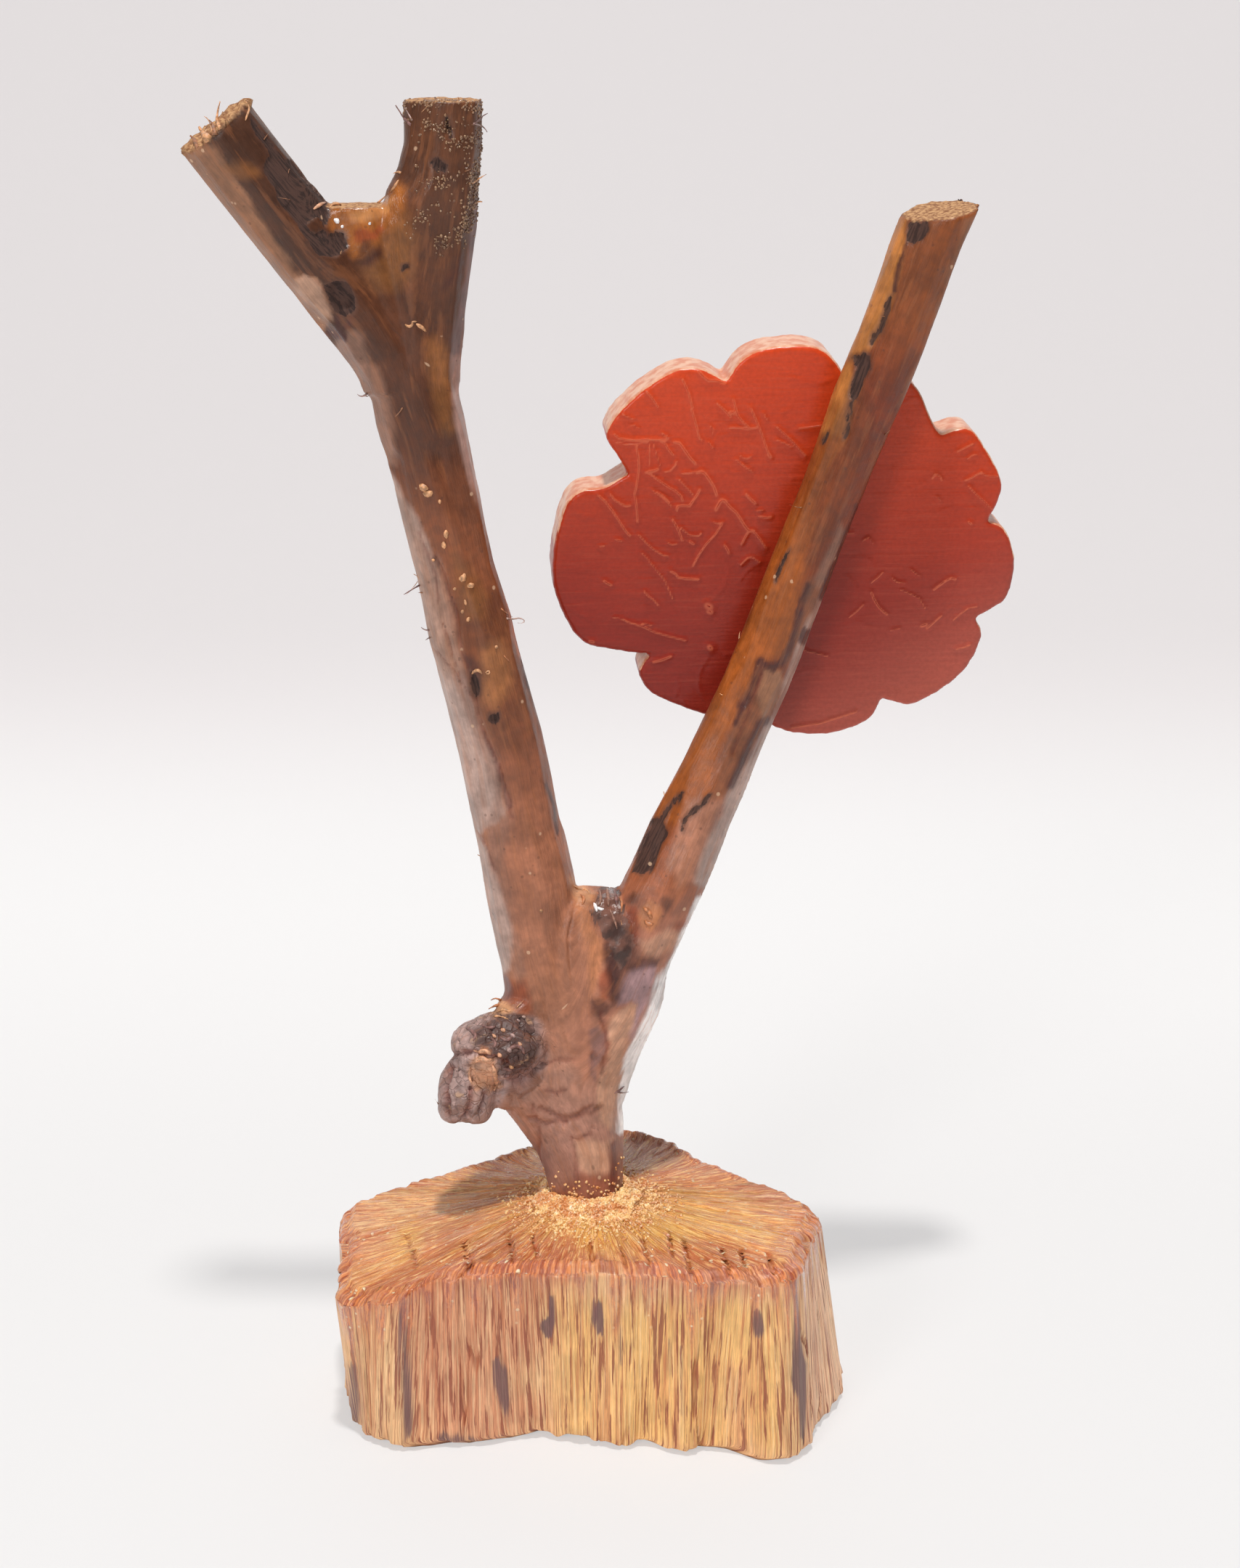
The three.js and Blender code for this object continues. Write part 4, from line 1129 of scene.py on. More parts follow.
def pared(points, low, high, reach):
    """Pares what stands out from the stem between two heights."""
    line, height = np.array(LIMB_LINES["main"]) * MM, points[:, 2]
    middle = np.column_stack([np.interp(height, line[:, 2], line[:, k]) for k in (0, 1)])
    out = points[:, :2] - middle
    radius = np.linalg.norm(out, axis=1)
    share = smoothstep(low - 2 * MM, low, height) * smoothstep(high + 3 * MM, high, height)
    share *= out[:, 0] < 0
    points[:, :2] -= out * (np.clip(1 - reach / radius, 0, None) * share)[:, None]
    return points


def eased(piece, middle, halves, passes):
    """The piece with its skin smoothed in an oval place."""
    near = smoothstep(0, 0.4, in_lump(points_of(piece.data), middle, halves))
    group = piece.vertex_groups.new(name="eased")
    for k in np.flatnonzero(near):
        group.add([int(k)], float(near[k]), "REPLACE")
    ease = piece.modifiers.new("ease", "SMOOTH")
    ease.vertex_group, ease.iterations = "eased", passes
    settled(piece)
    piece.vertex_groups.clear()


def tones_by_height(points, table):
    heights, colours = zip(*table)
    linear = np.array([under_varnish(colour) for colour in colours])
    height = points[:, 2] / MM
    return np.column_stack([np.interp(height, heights, linear[:, k]) for k in range(3)])


def wood_colours(points, grain, shares, view, burl):
    """The wood's colour at each point: by height, then the marks of the photograph, and on the
    hidden side the same kinds of mark by chance."""
    right = shares["right"][:, None]
    colours = tones_by_height(points, STEM_TONES) * (1 - right)
    colours += tones_by_height(points, RIGHT_TONES) * right
    colours *= 1 - 0.4 * shares["left_stub"][:, None]
    hidden = 1 - smoothstep(-0.5, 0, view.facing)
    low = smoothstep(150 * MM, 100 * MM, points[:, 2])
    colours = laid_by_chance(colours, grain, hidden, WOOD_CHANCES, TONES)
    colours = laid_by_chance(colours, grain, low * hidden, LOW_CHANCES, TONES)
    colours = laid_over(colours, burl, TONES["burl"])
    # Some of these areas are painted sheen and painted highlights, along the limbs' edges and on the saddle.
    for tone, softness, strength, outline in TONE_AREAS:
        colours = laid_over(colours, strength * view.area(softness, outline, wrap=True), TONES[tone])
    for half_width, line in BARK_LINES:
        share = 0.85 * smoothstep(0.15, 0.75, view.stroke(1.3 * half_width, line))
        colours = laid_over(colours, share, TONES["crack"])
    # Painted shade in the wrinkles and along the facet edges, darker where a wrinkle is deeper.
    for half_width, depth, line in WRINKLES:
        share = (0.3 + 0.4 * min(depth, 1)) * smoothstep(0.3, 0.9, view.stroke(half_width * 1.2, line))
        colours = laid_over(colours, share, TONES["foot dark"])
    return colours


def sawn_ends(points, normals):
    """1 on the cut ends of the stub, the stem, the shoot and the right limb."""
    up = normals[:, 2]
    ahead = line_frames(LIMB_LINES["left_stub"])[1][-1]
    cut = (up > 0.8) & (points[:, 2] > CUT_HEIGHTS["middle"] - 1.2 * MM)
    cut |= (up > 0.8) & (np.abs(points[:, 2] - CUT_HEIGHTS["shoot"]) < 1.2 * MM)
    cut |= (normals @ ahead > 0.85) & (points[:, 0] < -60 * MM)
    cut |= (up > 0.85) & (points[:, 0] > 56 * MM) & (points[:, 2] > 236 * MM)
    return cut.astype(float)


def burl_share(points):
    """1 on the burl, 0 on the trunk beside it."""
    lumps = [in_lump(points, middle, np.array(halves) * 1.12) for middle, halves in BURL_LUMPS]
    edge = smoothstep(-7.5 * MM, -10.5 * MM, points[:, 0] + 0.12 * (points[:, 2] - 75 * MM))
    return smoothstep(-0.1, 0.12, np.max(lumps, axis=0)) * edge


def branch_masks(points, normals, grain, view):
    marks = [view.area(5, outline) for outline in BARK_AREAS]
    bark = np.max(marks, axis=0) * (1 - smoothstep(0.3, 0.7, view.area(4, BARK_GAP)))
    hidden = 1 - smoothstep(-0.3, 0.1, view.facing)
    chance = noise_at(grain, mm(3.2, 3.2, 14), 41)
    return {
        "bark": np.maximum(bark, hidden * smoothstep(0.45, 0.95, chance)),
        "burl": burl_share(points), "knot": view.area(8, KNOT), "sawn": sawn_ends(points, normals),
        "wet": view.area(5, SADDLE) + 0.7 * view.area(6, WET_KNOT),
    }


def carved_by(points, grain, masks, rough_cut, view):
    """How far the skin is lifted or carved, in millimetres."""
    bark, burl, knot, sawn = (masks[name] for name in ("bark", "burl", "knot", "sawn"))
    lift = 0.12 * rough_noise(points, 6 * MM, 51, 2)
    lift += 0.08 * noise_at(grain, mm(1.6, 1.6, 22), 52)
    lift += 0.05 * noise_at(grain, mm(0.9, 0.9, 12), 53)
    lift -= 0.4 * smoothstep(0.4, 0.7, bark) * (1 - burl) * (1 - smoothstep(0.3, 0.6, knot))
    for depth, outline in HOLES:
        lift -= depth * smoothstep(0.3, 0.9, view.area(4, outline))
    for half_width, depth, line in WRINKLES:
        lift -= depth * smoothstep(0.35, 1, view.stroke(half_width * 1.3, line))
    crackle = 1 - np.abs(noise_at(points, 2.4 * MM, 61))
    bumpy = 0.6 * rough_noise(points, 3 * MM, 62, 3) - 0.8 * smoothstep(0.8, 1, crackle)
    folds = 0.6 * rough_noise(points, mm(1.8, 1.8, 8), 63, 2)
    low = smoothstep(73, 69, points[:, 2] / MM) * smoothstep(-17, -21, points[:, 0] / MM)
    lift += burl * (bumpy * (1 - low) + folds * low)
    knobbly = 0.55 * rough_noise(points, 1.6 * MM, 64, 2) + 0.35 * rough_noise(points, 3 * MM, 65, 1)
    lift += smoothstep(0.35, 0.6, knot) * knobbly
    lift += sawn * 0.22 * rough_noise(points, 1.0 * MM, 66, 2)
    return lift + sawn * rough_cut * (0.8 + 1.1 * rough_noise(points, 2.2 * MM, 67, 3))


def grit_masks(points, normals, view):
    """Where sawdust stuck: round the foot, and on the middle stub."""
    rise = points[:, 2] / MM + 2.5 * rough_noise(points, 3 * MM, 68, 2)
    foot = smoothstep(46.5, 42, rise) + 0.1 * smoothstep(52, 46, rise)
    stub = 0.12 * view.area(12, "560,150 668,150 664,335 570,335")
    for half_width, line in SAWDUST_TRAILS:
        stub += smoothstep(0.2, 0.9, view.stroke(half_width, line))
    clumps = smoothstep(-0.35, 0.25, rough_noise(points, 3 * MM, 69, 2))
    return {"foot grit": np.clip(foot, 0, 1) * (normals[:, 2] > -0.9),
            "stub grit": np.clip(stub, 0, 1) * clumps}


def branch_skin():
    piece = skin_of("forked_branch", "whittled_branch", BRANCH_VOXEL, 3, BRANCH_LUMPS)
    move_points(piece.data, pared(points_of(piece.data), *NECK_REACH))
    eased(piece, *NECK_EASED, NECK_PASSES)
    mesh = piece.data
    points = points_of(mesh)
    points = whittle(points, grain_of(points)[1], np.random.default_rng(5))
    move_points(mesh, points)
    view = PhotoView(mesh)
    grain, shares = grain_of(points)
    view.loosen(grain, 2.6, 3, 0.9, 4)
    normals = normals_of(mesh)
    masks = branch_masks(points, normals, grain, view)
    colours = wood_colours(points, grain, shares, view, masks["burl"])
    lift = carved_by(points, grain, masks, shares["left_stub"], view)
    points = points + normals * lift[:, None] * MM
    move_points(mesh, points)
    keep_place(mesh, "grain", grain)
    keep_colour(mesh, "tone", colours)
    for name, values in (masks | grit_masks(points, normals, view)).items():
        keep_mask(mesh, name, values)
    return piece


def branch_material():
    """Whittled wood under satin varnish, with bark in its hollows, a burl and sawn ends."""
    material, tree, shader = new_material("whittled wood, varnished")
    place, here = attribute(tree, "grain", "Vector"), on_object(tree)
    streak, thread = streaks(tree, place, 1.5, 9.0), streaks(tree, place, 0.4, 11.0)
    cloud = clouds(tree, place, 130.0, 4.0)
    mottle, fuzz = clouds(tree, here, 520.0, 4.0), clouds(tree, here, 1400.0, 4.0)
    patchy = clouds(tree, here, 330.0, 5.0)
    cracks = wire(tree, "ShaderNodeTexVoronoi", {"Vector": here, "Scale": 520.0, "Randomness": 1.0},
                  feature="DISTANCE_TO_EDGE").outputs[0]

    def patch(name, size, amount):
        inputs = {"Mask": attribute(tree, name), "Place": place, "Size": size, "Amount": amount}
        return use(tree, RAGGED, inputs | {"Stretch": 2.5})

    colour = shaded(tree, attribute(tree, "tone", "Color"), cloud, 0.3, 0.7, 0.8, 1.2)
    colour = shaded(tree, colour, mottle, 0.3, 0.7, 0.86, 1.14)
    colour = stained(tree, colour, streak, 0.55, 0.95, 0.22, (170, 104, 62))
    colour = shaded(tree, colour, thread, 0.1, 0.9, 1.06, 0.91)
    burl, sawn = attribute(tree, "burl"), attribute(tree, "sawn")
    for low, high, most, tone in ((0.45, 0.62, 0.5, (96, 72, 66)), (0.62, 0.7, 0.7, (188, 148, 118))):
        colour = covered(tree, colour, burl, ranged(tree, patchy, low, high, 0, most), paint(*tone))
    colour = stained(tree, colour, attribute(tree, "bark"), 0.0, 0.55, 0.6, (92, 56, 40))
    bark, knot, wet = patch("bark", 1.0, 1.15), patch("knot", 1.4, 1.5), patch("wet", 3.0, 0.4)
    sooty = mixed(tree, ranged(tree, thread, 0.3, 0.8), paint(74, 52, 45), paint(42, 30, 28))
    colour = covered(tree, colour, bark, 0.88, sooty)
    pitch = mixed(tree, ranged(tree, patchy, 0.4, 0.62), paint(60, 42, 37), paint(112, 76, 64))
    colour = covered(tree, colour, knot, 0.85, pitch)
    straw = mixed(tree, ranged(tree, fuzz, 0.35, 0.65), paint(134, 90, 60), paint(196, 152, 108))
    colour = mixed(tree, sawn, colour, straw)
    colour = covered(tree, colour, specks(tree, place, 0.6, 0.03), 0.55, paint(222, 184, 150))
    colour = covered(tree, colour, specks(tree, place, 0.45, 0.08), 0.4, paint(70, 42, 32))

    rough = ranged(tree, mottle, 0.3, 0.7, 0.4, 0.56)
    rough = mixed(tree, wet, rough, [0.22] * 3 + [1])
    rough = mixed(tree, maths(tree, "MAXIMUM", sawn, bark), rough, [0.85] * 3 + [1])
    rugged = plus(tree, times(tree, patchy, 1.6), ranged(tree, cracks, 0.0, 0.12))
    relief = plus(tree, times(tree, thread, 0.2), times(tree, mottle, 0.5))
    relief = plus(tree, relief, times(tree, rugged, burl))
    relief = plus(tree, relief, times(tree, fuzz, sawn))
    coat = plus(tree, ranged(tree, bark, 0, 1, 0.13, 0.02), times(tree, wet, 0.74))
    coat = times(tree, coat, maths(tree, "SUBTRACT", 1.0, sawn))
    shader.inputs["Specular IOR Level"].default_value = 0.35
    shader.inputs["Coat Roughness"].default_value = 0.16
    finish_with(tree, shader, colour, rough, relief, 0.2 * MM, coat)
    return material


def make_branch():
    branch = branch_skin()
    branch.data.materials.append(branch_material())
    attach(branch, "root")
    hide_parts("forked_branch")
    return branch


# Glue and sawdust

FULL_TURNS = (6.28, 6.28, 6.28)
DUST = {"Mask": "foot grit", "Grains per square metre": 3.8e6, "Smallest": 0.18 * MM,
        "Largest": 0.48 * MM}
STUB_DUST = DUST | {"Mask": "stub grit", "Smallest": 0.15 * MM, "Largest": 0.38 * MM}


def granules_tree(material):
    """Scatters rough grains over a mesh where the named mask is high."""
    tree = bpy.data.node_groups.new("granules", "GeometryNodeTree")
    for label, kind in (("Geometry", "Geometry"), ("Mask", "String"),
                        ("Grains per square metre", "Float"), ("Smallest", "Float"),
                        ("Largest", "Float"), ("Seed", "Int")):
        tree.interface.new_socket(label, in_out="INPUT", socket_type="NodeSocket" + kind)
    tree.interface.new_socket("Geometry", in_out="OUTPUT", socket_type="NodeSocketGeometry")
    source = tree.nodes.new("NodeGroupInput").outputs
    target = tree.nodes.new("NodeGroupOutput").inputs

    def chosen(kind, inputs, output):
        inputs = inputs | {"Seed": source["Seed"]}
        return wire(tree, "FunctionNodeRandomValue", inputs, data_type=kind).outputs[output]

    def scaled(vector, scale):
        inputs = {0: vector, "Scale": scale}
        return wire(tree, "ShaderNodeVectorMath", inputs, operation="SCALE").outputs[0]

    grit = wire(tree, "GeometryNodeInputNamedAttribute", {"Name": source["Mask"]}).outputs["Attribute"]
    density = times(tree, source["Grains per square metre"], grit)
    spread = {"Mesh": source["Geometry"], "Density": density, "Seed": source["Seed"]}
    points = wire(tree, "GeometryNodeDistributePointsOnFaces", spread).outputs["Points"]
    ball = wire(tree, "GeometryNodeMeshIcoSphere", {"Radius": 1.0, "Subdivisions": 1}).outputs["Mesh"]
    turns = chosen("FLOAT_VECTOR", {0: (0, 0, 0), 1: FULL_TURNS}, "Value")
    size = chosen("FLOAT", {2: source["Smallest"], 3: source["Largest"]}, 1)
    shape = chosen("FLOAT_VECTOR", {0: (0.6, 0.6, 0.6), 1: (1.25, 1.1, 1)}, "Value")
    placed = {"Points": points, "Instance": ball, "Rotation": turns, "Scale": scaled(shape, size)}
    grains = wire(tree, "GeometryNodeInstanceOnPoints", placed).outputs[0]
    real = wire(tree, "GeometryNodeRealizeInstances", {0: grains}).outputs[0]
    dent = wire(tree, "ShaderNodeTexNoise", {"Scale": 2600.0}).outputs["Color"]
    middled = wire(tree, "ShaderNodeVectorMath", {0: dent, 1: (0.5, 0.5, 0.5)}, operation="SUBTRACT")
    shift = {"Geometry": real, "Offset": scaled(middled.outputs[0], 0.35 * MM)}
    moved = wire(tree, "GeometryNodeSetPosition", shift).outputs[0]
    soft = wire(tree, "GeometryNodeSetShadeSmooth", {0: moved}).outputs[0]
    done = wire(tree, "GeometryNodeSetMaterial", {"Geometry": soft, "Material": material}).outputs[0]
    tree.links.new(done, target["Geometry"])
    return tree


def grown_on(host, tree, name, values):
    """What a Geometry Nodes tree grows on a piece, as a piece of its own."""
    piece = new_piece(name, host.data.copy())
    modifier = piece.modifiers.new(name, "NODES")
    modifier.node_group = tree
    for socket in tree.interface.items_tree:
        if socket.in_out == "INPUT" and socket.name in values:
            modifier[socket.identifier] = values[socket.name]
    return settled(piece)


def sawdust_material(name, deep, light, palest):
    """Sawdust set hard in glue, wet and dark where it is thin."""
    material, tree, shader = new_material(name)
    coarse, fine = (clouds(tree, on_object(tree), *kind) for kind in ((420.0, 3.0), (1900.0, 4.0)))
    colour = mixed(tree, ranged(tree, coarse, 0.35, 0.65), paint(*deep), paint(*light))
    colour = stained(tree, colour, fine, 0.52, 0.72, 0.8, palest)
    colour = stained(tree, colour, fine, 0.42, 0.3, 0.5, (124, 66, 38))
    roughness = ranged(tree, fine, 0.3, 0.7, 0.2, 0.5)
    shader.inputs["Coat Roughness"].default_value = 0.1
    finish_with(tree, shader, colour, roughness, fine, 0.2 * MM, ranged(tree, coarse, 0.2, 0.8, 0.5, 0.9))
    return material


def make_collar(material):
    """The lumpy ring of sawdust and glue round the foot."""
    collar = skin_of("foot_glue_collar", "sawdust_collar", 0.35 * MM, 2)
    mesh = collar.data
    points, normals = points_of(mesh), normals_of(mesh)
    lift = 0.5 * rough_noise(points, 3.2 * MM, 91, 3) + 0.3 * rough_noise(points, 0.9 * MM, 92, 2)
    outward = smoothstep(8 * MM, 11 * MM, np.hypot(points[:, 0] + 0.8 * MM, points[:, 1] + 1 * MM))
    angle = np.arctan2(points[:, 1], points[:, 0])
    lobes = noise_at(np.column_stack([np.cos(angle), np.sin(angle), 0 * angle]), 0.45, 93)
    shift = outward * 1.6 * lobes
    points[:, :2] += (normals[:, :2] * shift[:, None]) * MM
    points[:, 2] -= outward * (0.9 + 0.6 * lobes) * MM  # its edge melts into the wood
    move_points(mesh, points + normals * lift[:, None] * MM)
    keep_mask(mesh, "foot grit", (normals_of(mesh)[:, 2] > 0.1).astype(float))
    mesh.materials.append(material)
    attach(collar, "root")
    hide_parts("foot_glue_collar")
    return collar


def make_sawdust(branch, block):
    """The collar, and the grains stuck to it, to the wood round it and to the middle stub."""
    amber_dust = sawdust_material("sawdust in glue", (214, 138, 76), (250, 204, 136), (255, 244, 208))
    straw_dust = sawdust_material("sawdust on the stub", (112, 78, 54), (150, 112, 80), (190, 154, 116))
    collar = make_collar(amber_dust)
    golden, pale = granules_tree(amber_dust), granules_tree(straw_dust)
    for seed, (host, tree, name, amounts) in enumerate((
            (collar, golden, "granules_on_collar", DUST), (branch, golden, "granules_on_foot", DUST),
            (block, golden, "granules_on_block", DUST), (branch, pale, "granules_on_stem", STUB_DUST)), 3):
        piece = grown_on(host, tree, name, amounts | {"Seed": seed})
        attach(piece, "root")


def make_glue_pad():
    """The clear glue that squeezed out between the limb and the board."""
    material, tree, shader = new_material("clear glue")
    cloud = clouds(tree, on_object(tree), 500.0, 3.0)
    colour = mixed(tree, cloud, paint(176, 120, 84), paint(214, 180, 150))
    roughness = ranged(tree, cloud, 0.3, 0.7, 0.08, 0.25)
    finish_with(tree, shader, colour, roughness, cloud, 0.3 * MM)
    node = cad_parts["flower_glue_pad"]
    for slot in node.material_slots:
        slot.material = material
    if not node.material_slots:
        node.data.materials.append(material)


# Strands: hairs, splinters, crumbs of sawdust, white bits that are painted glints, and ridges of thick paint

# Loose bits on the wood: tone, half width in pixels, and pixels from the root on. The whitest bits are
# painted glints, not crumbs.
LOOSE_BITS = marks_in("""
tan 4: 272,204 268,192 262,187; straw 5: 285,190 277,180 274,174; tan 4: 296,186 294,172 288,165;
straw 3: 304,178 298,164 299,157; straw 2: 300,174 299,158 301,148 303,140;
straw 1.5: 292,180 287,164 281,160; straw 1.5: 338,166 344,148 338,140;
dusk 2.2: 566,172 556,162 550,153 545,145; burl 1.6: 568,166 560,152 555,142;
dusk 1.6: 652,172 664,160 672,156; burl 1.4: 652,170 666,174 671,182;
straw 1.8: 650,252 663,244 670,240; straw 1.6: 654,280 660,277 664,278;
straw 1.8: 552,238 546,236 541,240; burl 1.6: 506,542 500,547 495,546 492,543;
dusk 1.5: 554,720 549,725 546,720; dusk 1.5: 578,806 569,811 562,816 556,819;
dark brown 3: 573,806 577,815 580,826; burl 1.5: 591,868 585,868 580,864; burl 1.4: 592,878 586,882;
red brown 4: 688,797 694,795 698,799 700,806;
bleached 1.2: 698,852 706,853 714,851 721,853 724,856 719,859 713,858;
knob 1.2: 690,838 698,845 706,850; knob 1.3: 694,903 702,911;
straw 2: 558,447 564,451 570,446 566,443 574,443; straw 2.4: 573,446 580,450 587,457;
straw 2.5: 796,1212 799,1206 803,1202 798,1200; straw 2: 790,1220 798,1226 806,1224 812,1230;
knob 2.5: 800,1232 806,1240 802,1246; dusk 3: 692,1356 686,1350 684,1355;
knob 1.8: 690,1378 682,1374 676,1378; knob 2: 688,1384 680,1386 673,1390;
straw 2.4: 684,1394 694,1390 704,1394; straw 2: 680,1400 690,1400 700,1404;
dusk 1.8: 846,1506 853,1502 860,1496; dusk 1.5: 850,1504 858,1506 866,1504;
straw 5.5: 578,668 584,672 590,674; straw 5: 583,679 590,681 596,678; straw 2.4: 605,688 606,694;
straw 3: 614,730 615,742; straw 3.6: 611,746 612,756; straw 2.6: 595,771 599,772;
straw 4.5: 632,797 638,798 640,790; straw 5: 647,803 649,810; straw 2.5: 626,809 627,813;
straw 2.8: 636,845 638,840; straw 4.5: 643,852 648,854; straw 2.6: 640,826 642,834;
straw 2.6: 650,928 654,923 660,923 664,928; straw 1.8: 669,927 672,922 676,925 673,930 670,928;
straw 2.5: 682,890 685,892; straw 2.4: 744,1253 747,1256; straw 2: 836,1204 838,1208;
dusk 3: 642,1416 650,1420 656,1426 652,1434; crust 3: 652,1446 660,1450 668,1446 676,1452;
dusk 2.6: 664,1412 672,1418 682,1414; dusk 3: 688,1428 696,1434 704,1430 708,1422;
dusk 3: 700,1446 710,1440 720,1444 722,1452; bleached 2.4: 719,1400 724,1402;
crust 3: 690,1417 696,1421; burl 3: 703,1424 709,1429; crust 2.6: 714,1436 719,1441;
burl 3.2: 699,1444 704,1449; crust 3: 686,1451 691,1456; straw 2.6: 702,1468 707,1471;
burl 2.4: 712,1404 716,1408; crust 2.4: 678,1425 683,1429;
crust 3.4: 654,1464 662,1456 670,1462 678,1458; crust 3.6: 678,1466 682,1480 684,1494 680,1502;
dusk 3: 690,1474 698,1470 706,1476; dusk 2.6: 694,1484 702,1480; crust 2: 648,1470 646,1482 650,1494;
dusk 2.4: 676,1430 684,1436 680,1444; mauve 2.6: 826,1226 828,1236 826,1246;
mauve 2.6: 836,1224 838,1236 838,1248; dusk 2.6: 846,1224 848,1234 850,1248;
knob 2.2: 854,1234 857,1244 856,1256; mauve 2: 840,1252 846,1266 850,1280;
knob 3: 886,1250 894,1256 898,1266; knob 2.6: 888,1268 894,1274 900,1272;
near white 3: 460,302 464,304 467,307; near white 2: 470,311 473,313; near white 2: 508,307 511,309;
near white 2.6: 818,1244 821,1250 822,1256; near white 2.4: 822,1250 828,1253 832,1252;
straw 2: 454,286 461,279 470,282; straw 2: 520,280 528,273 535,266; straw 2.2: 538,264 545,256 549,248;
crust 2.4: 432,288 440,282 448,279
""")
STRAY_HAIRS = 46
# Ridges of thick paint: half width in pixels, and pixels along them
PAINT_RIDGES = marks_in("""
2.6: 960,508 968,518 976,524 988,524 998,528; 2: 940,522 948,540 954,562; 2: 888,536 898,548 906,560;
2: 846,598 852,603 862,605 876,606 892,605 905,606 918,605; 1.5: 848,609 862,612 878,611 892,609;
1.3: 868,587 874,586 880,590; 1.5: 858,571 864,574 872,577; 1.6: 912,597 918,600 921,604;
1.9: 876,613 879,628 880,645 878,660 876,672 874,680 877,700 878,719; 1.1: 894,612 895,630 893,645;
1.1: 900,612 905,628 909,640; 2: 911,609 916,610 920,618 927,627;
2.5: 929,609 936,610 943,620 950,630 958,639; 1.6: 940,652 948,652 956,650;
2.6: 960,651 966,649 971,652 978,662 984,672 987,682; 3: 986,702 990,694 994,688 999,690;
2.5: 998,690 1006,699 1014,706 1020,715 1026,725 1031,731 1038,731; 2: 1031,732 1026,740 1021,750;
2: 1038,732 1045,740 1055,755; 2.5: 890,651 895,649 902,648 906,646;
2: 893,651 905,660 918,669 930,676 938,683 940,689; 1.6: 916,650 924,648 930,641 932,635;
1.6: 935,660 942,668 950,676 954,681; 2.2: 964,674 960,682 954,690 950,697 940,696 933,697 932,703;
1.6: 899,676 908,682 918,690 925,698; 1.3: 905,677 914,683 922,690; 2: 926,715 930,722 935,732 940,745;
1.6: 938,727 944,732 950,737 962,738 966,734; 1.6: 920,748 926,750 932,749; 2.2: 950,746 955,749;
1.6: 982,719 990,721 996,719; 1.8: 994,722 985,736 972,750 962,765 954,780;
2.2: 998,751 1002,757 1004,762; 2.1: 824,682 833,690 843,703 853,718 862,732 868,738;
2: 841,681 846,688 854,693 862,697 868,696; 1.7: 880,737 890,748 902,758 914,765 920,766;
1.6: 848,743 856,745; 1.5: 826,753 832,752; 2: 952,563 956,575 960,590 963,603 966,606;
1.3: 978,587 983,590 982,598; 1.3: 976,609 983,618; 2: 988,556 998,565 1006,574;
2: 1010,550 1016,572 1024,582 1032,589; 2: 1005,589 1018,589 1030,591 1042,589;
2: 1034,562 1042,580 1050,600 1056,618 1060,628; 3: 1059,626 1061,629; 1.6: 1052,570 1056,578;
1.7: 1014,633 1024,641 1036,650; 1.5: 1020,628 1028,632 1034,629; 2.6: 1028,681 1032,686 1040,693;
2: 1046,711 1056,713 1062,712; 1.5: 1042,704 1050,703; 1.6: 1070,606 1080,610 1090,615;
1.8: 1070,588 1090,606 1110,628; 1.8: 1100,590 1116,588 1132,586;
1.6: 1020,778 1030,768 1036,767 1046,774; 1.5: 884,762 892,770 904,785 916,800 926,824;
2.2: 924,787 930,790 934,795 944,797 962,798; 1.8: 887,814 892,820 900,826 907,834;
2.2: 832,800 836,803 842,806; 1.8: 858,853 866,857 876,860 886,863 900,870 920,876 944,882;
1.3: 844,850 858,853; 1.3: 884,858 898,861; 2.2: 812,883 818,884; 2.2: 900,912 912,909 924,904;
1.7: 1284,659 1288,653 1294,655 1297,661; 1.6: 1329,662 1338,658 1346,653 1352,650;
1.6: 1352,652 1362,656 1374,656; 1.6: 1334,670 1344,680 1355,690 1366,701;
1.3: 1333,632 1340,626 1346,627; 1.6: 1318,622 1330,616 1340,611;
2: 1286,812 1294,806 1302,800 1310,796 1316,798; 2: 1200,816 1204,826 1210,836 1218,844 1222,846;
1.3: 1200,802 1208,796 1216,788; 1.4: 1228,796 1236,802 1246,803; 1.3: 1255,785 1266,793;
1.6: 1276,866 1286,857 1296,848; 2.5: 1269,862 1276,860; 1.3: 1312,855 1322,846 1332,838 1346,835;
1.4: 1316,894 1326,892 1336,888; 1.3: 1170,850 1180,842 1190,832;
1.3: 1240,812 1254,818 1266,824 1274,838; 1.1: 1188,745 1196,740 1204,750; 1.3: 1290,684 1296,690;
1.2: 1160,735 1176,734; 1.2: 1226,868 1240,866; 2: 1334,719 1338,722; 1.4: 1106,896 1122,899 1140,904;
1.6: 1180,980 1130,996 1090,1002; 5: 974,834 978,836; 4: 976,842 979,843; 4: 977,891 979,893;
3: 1007,567 1010,569
""")
STRAND_SIDES = 6


def eased_path(corners, step):
    """A path through corners, with its bends rounded, in even steps."""
    corners = np.array(corners, float)
    legs = np.linalg.norm(np.diff(corners, axis=0), axis=1)
    length = np.concatenate([[0], np.cumsum(legs)])
    at = np.linspace(0, length[-1], max(5, int(length[-1] / step)))
    path = np.column_stack([np.interp(at, length, axis) for axis in corners.T])
    path[1:-1] = (path[:-2] + 2 * path[1:-1] + path[2:]) / 4
    return path


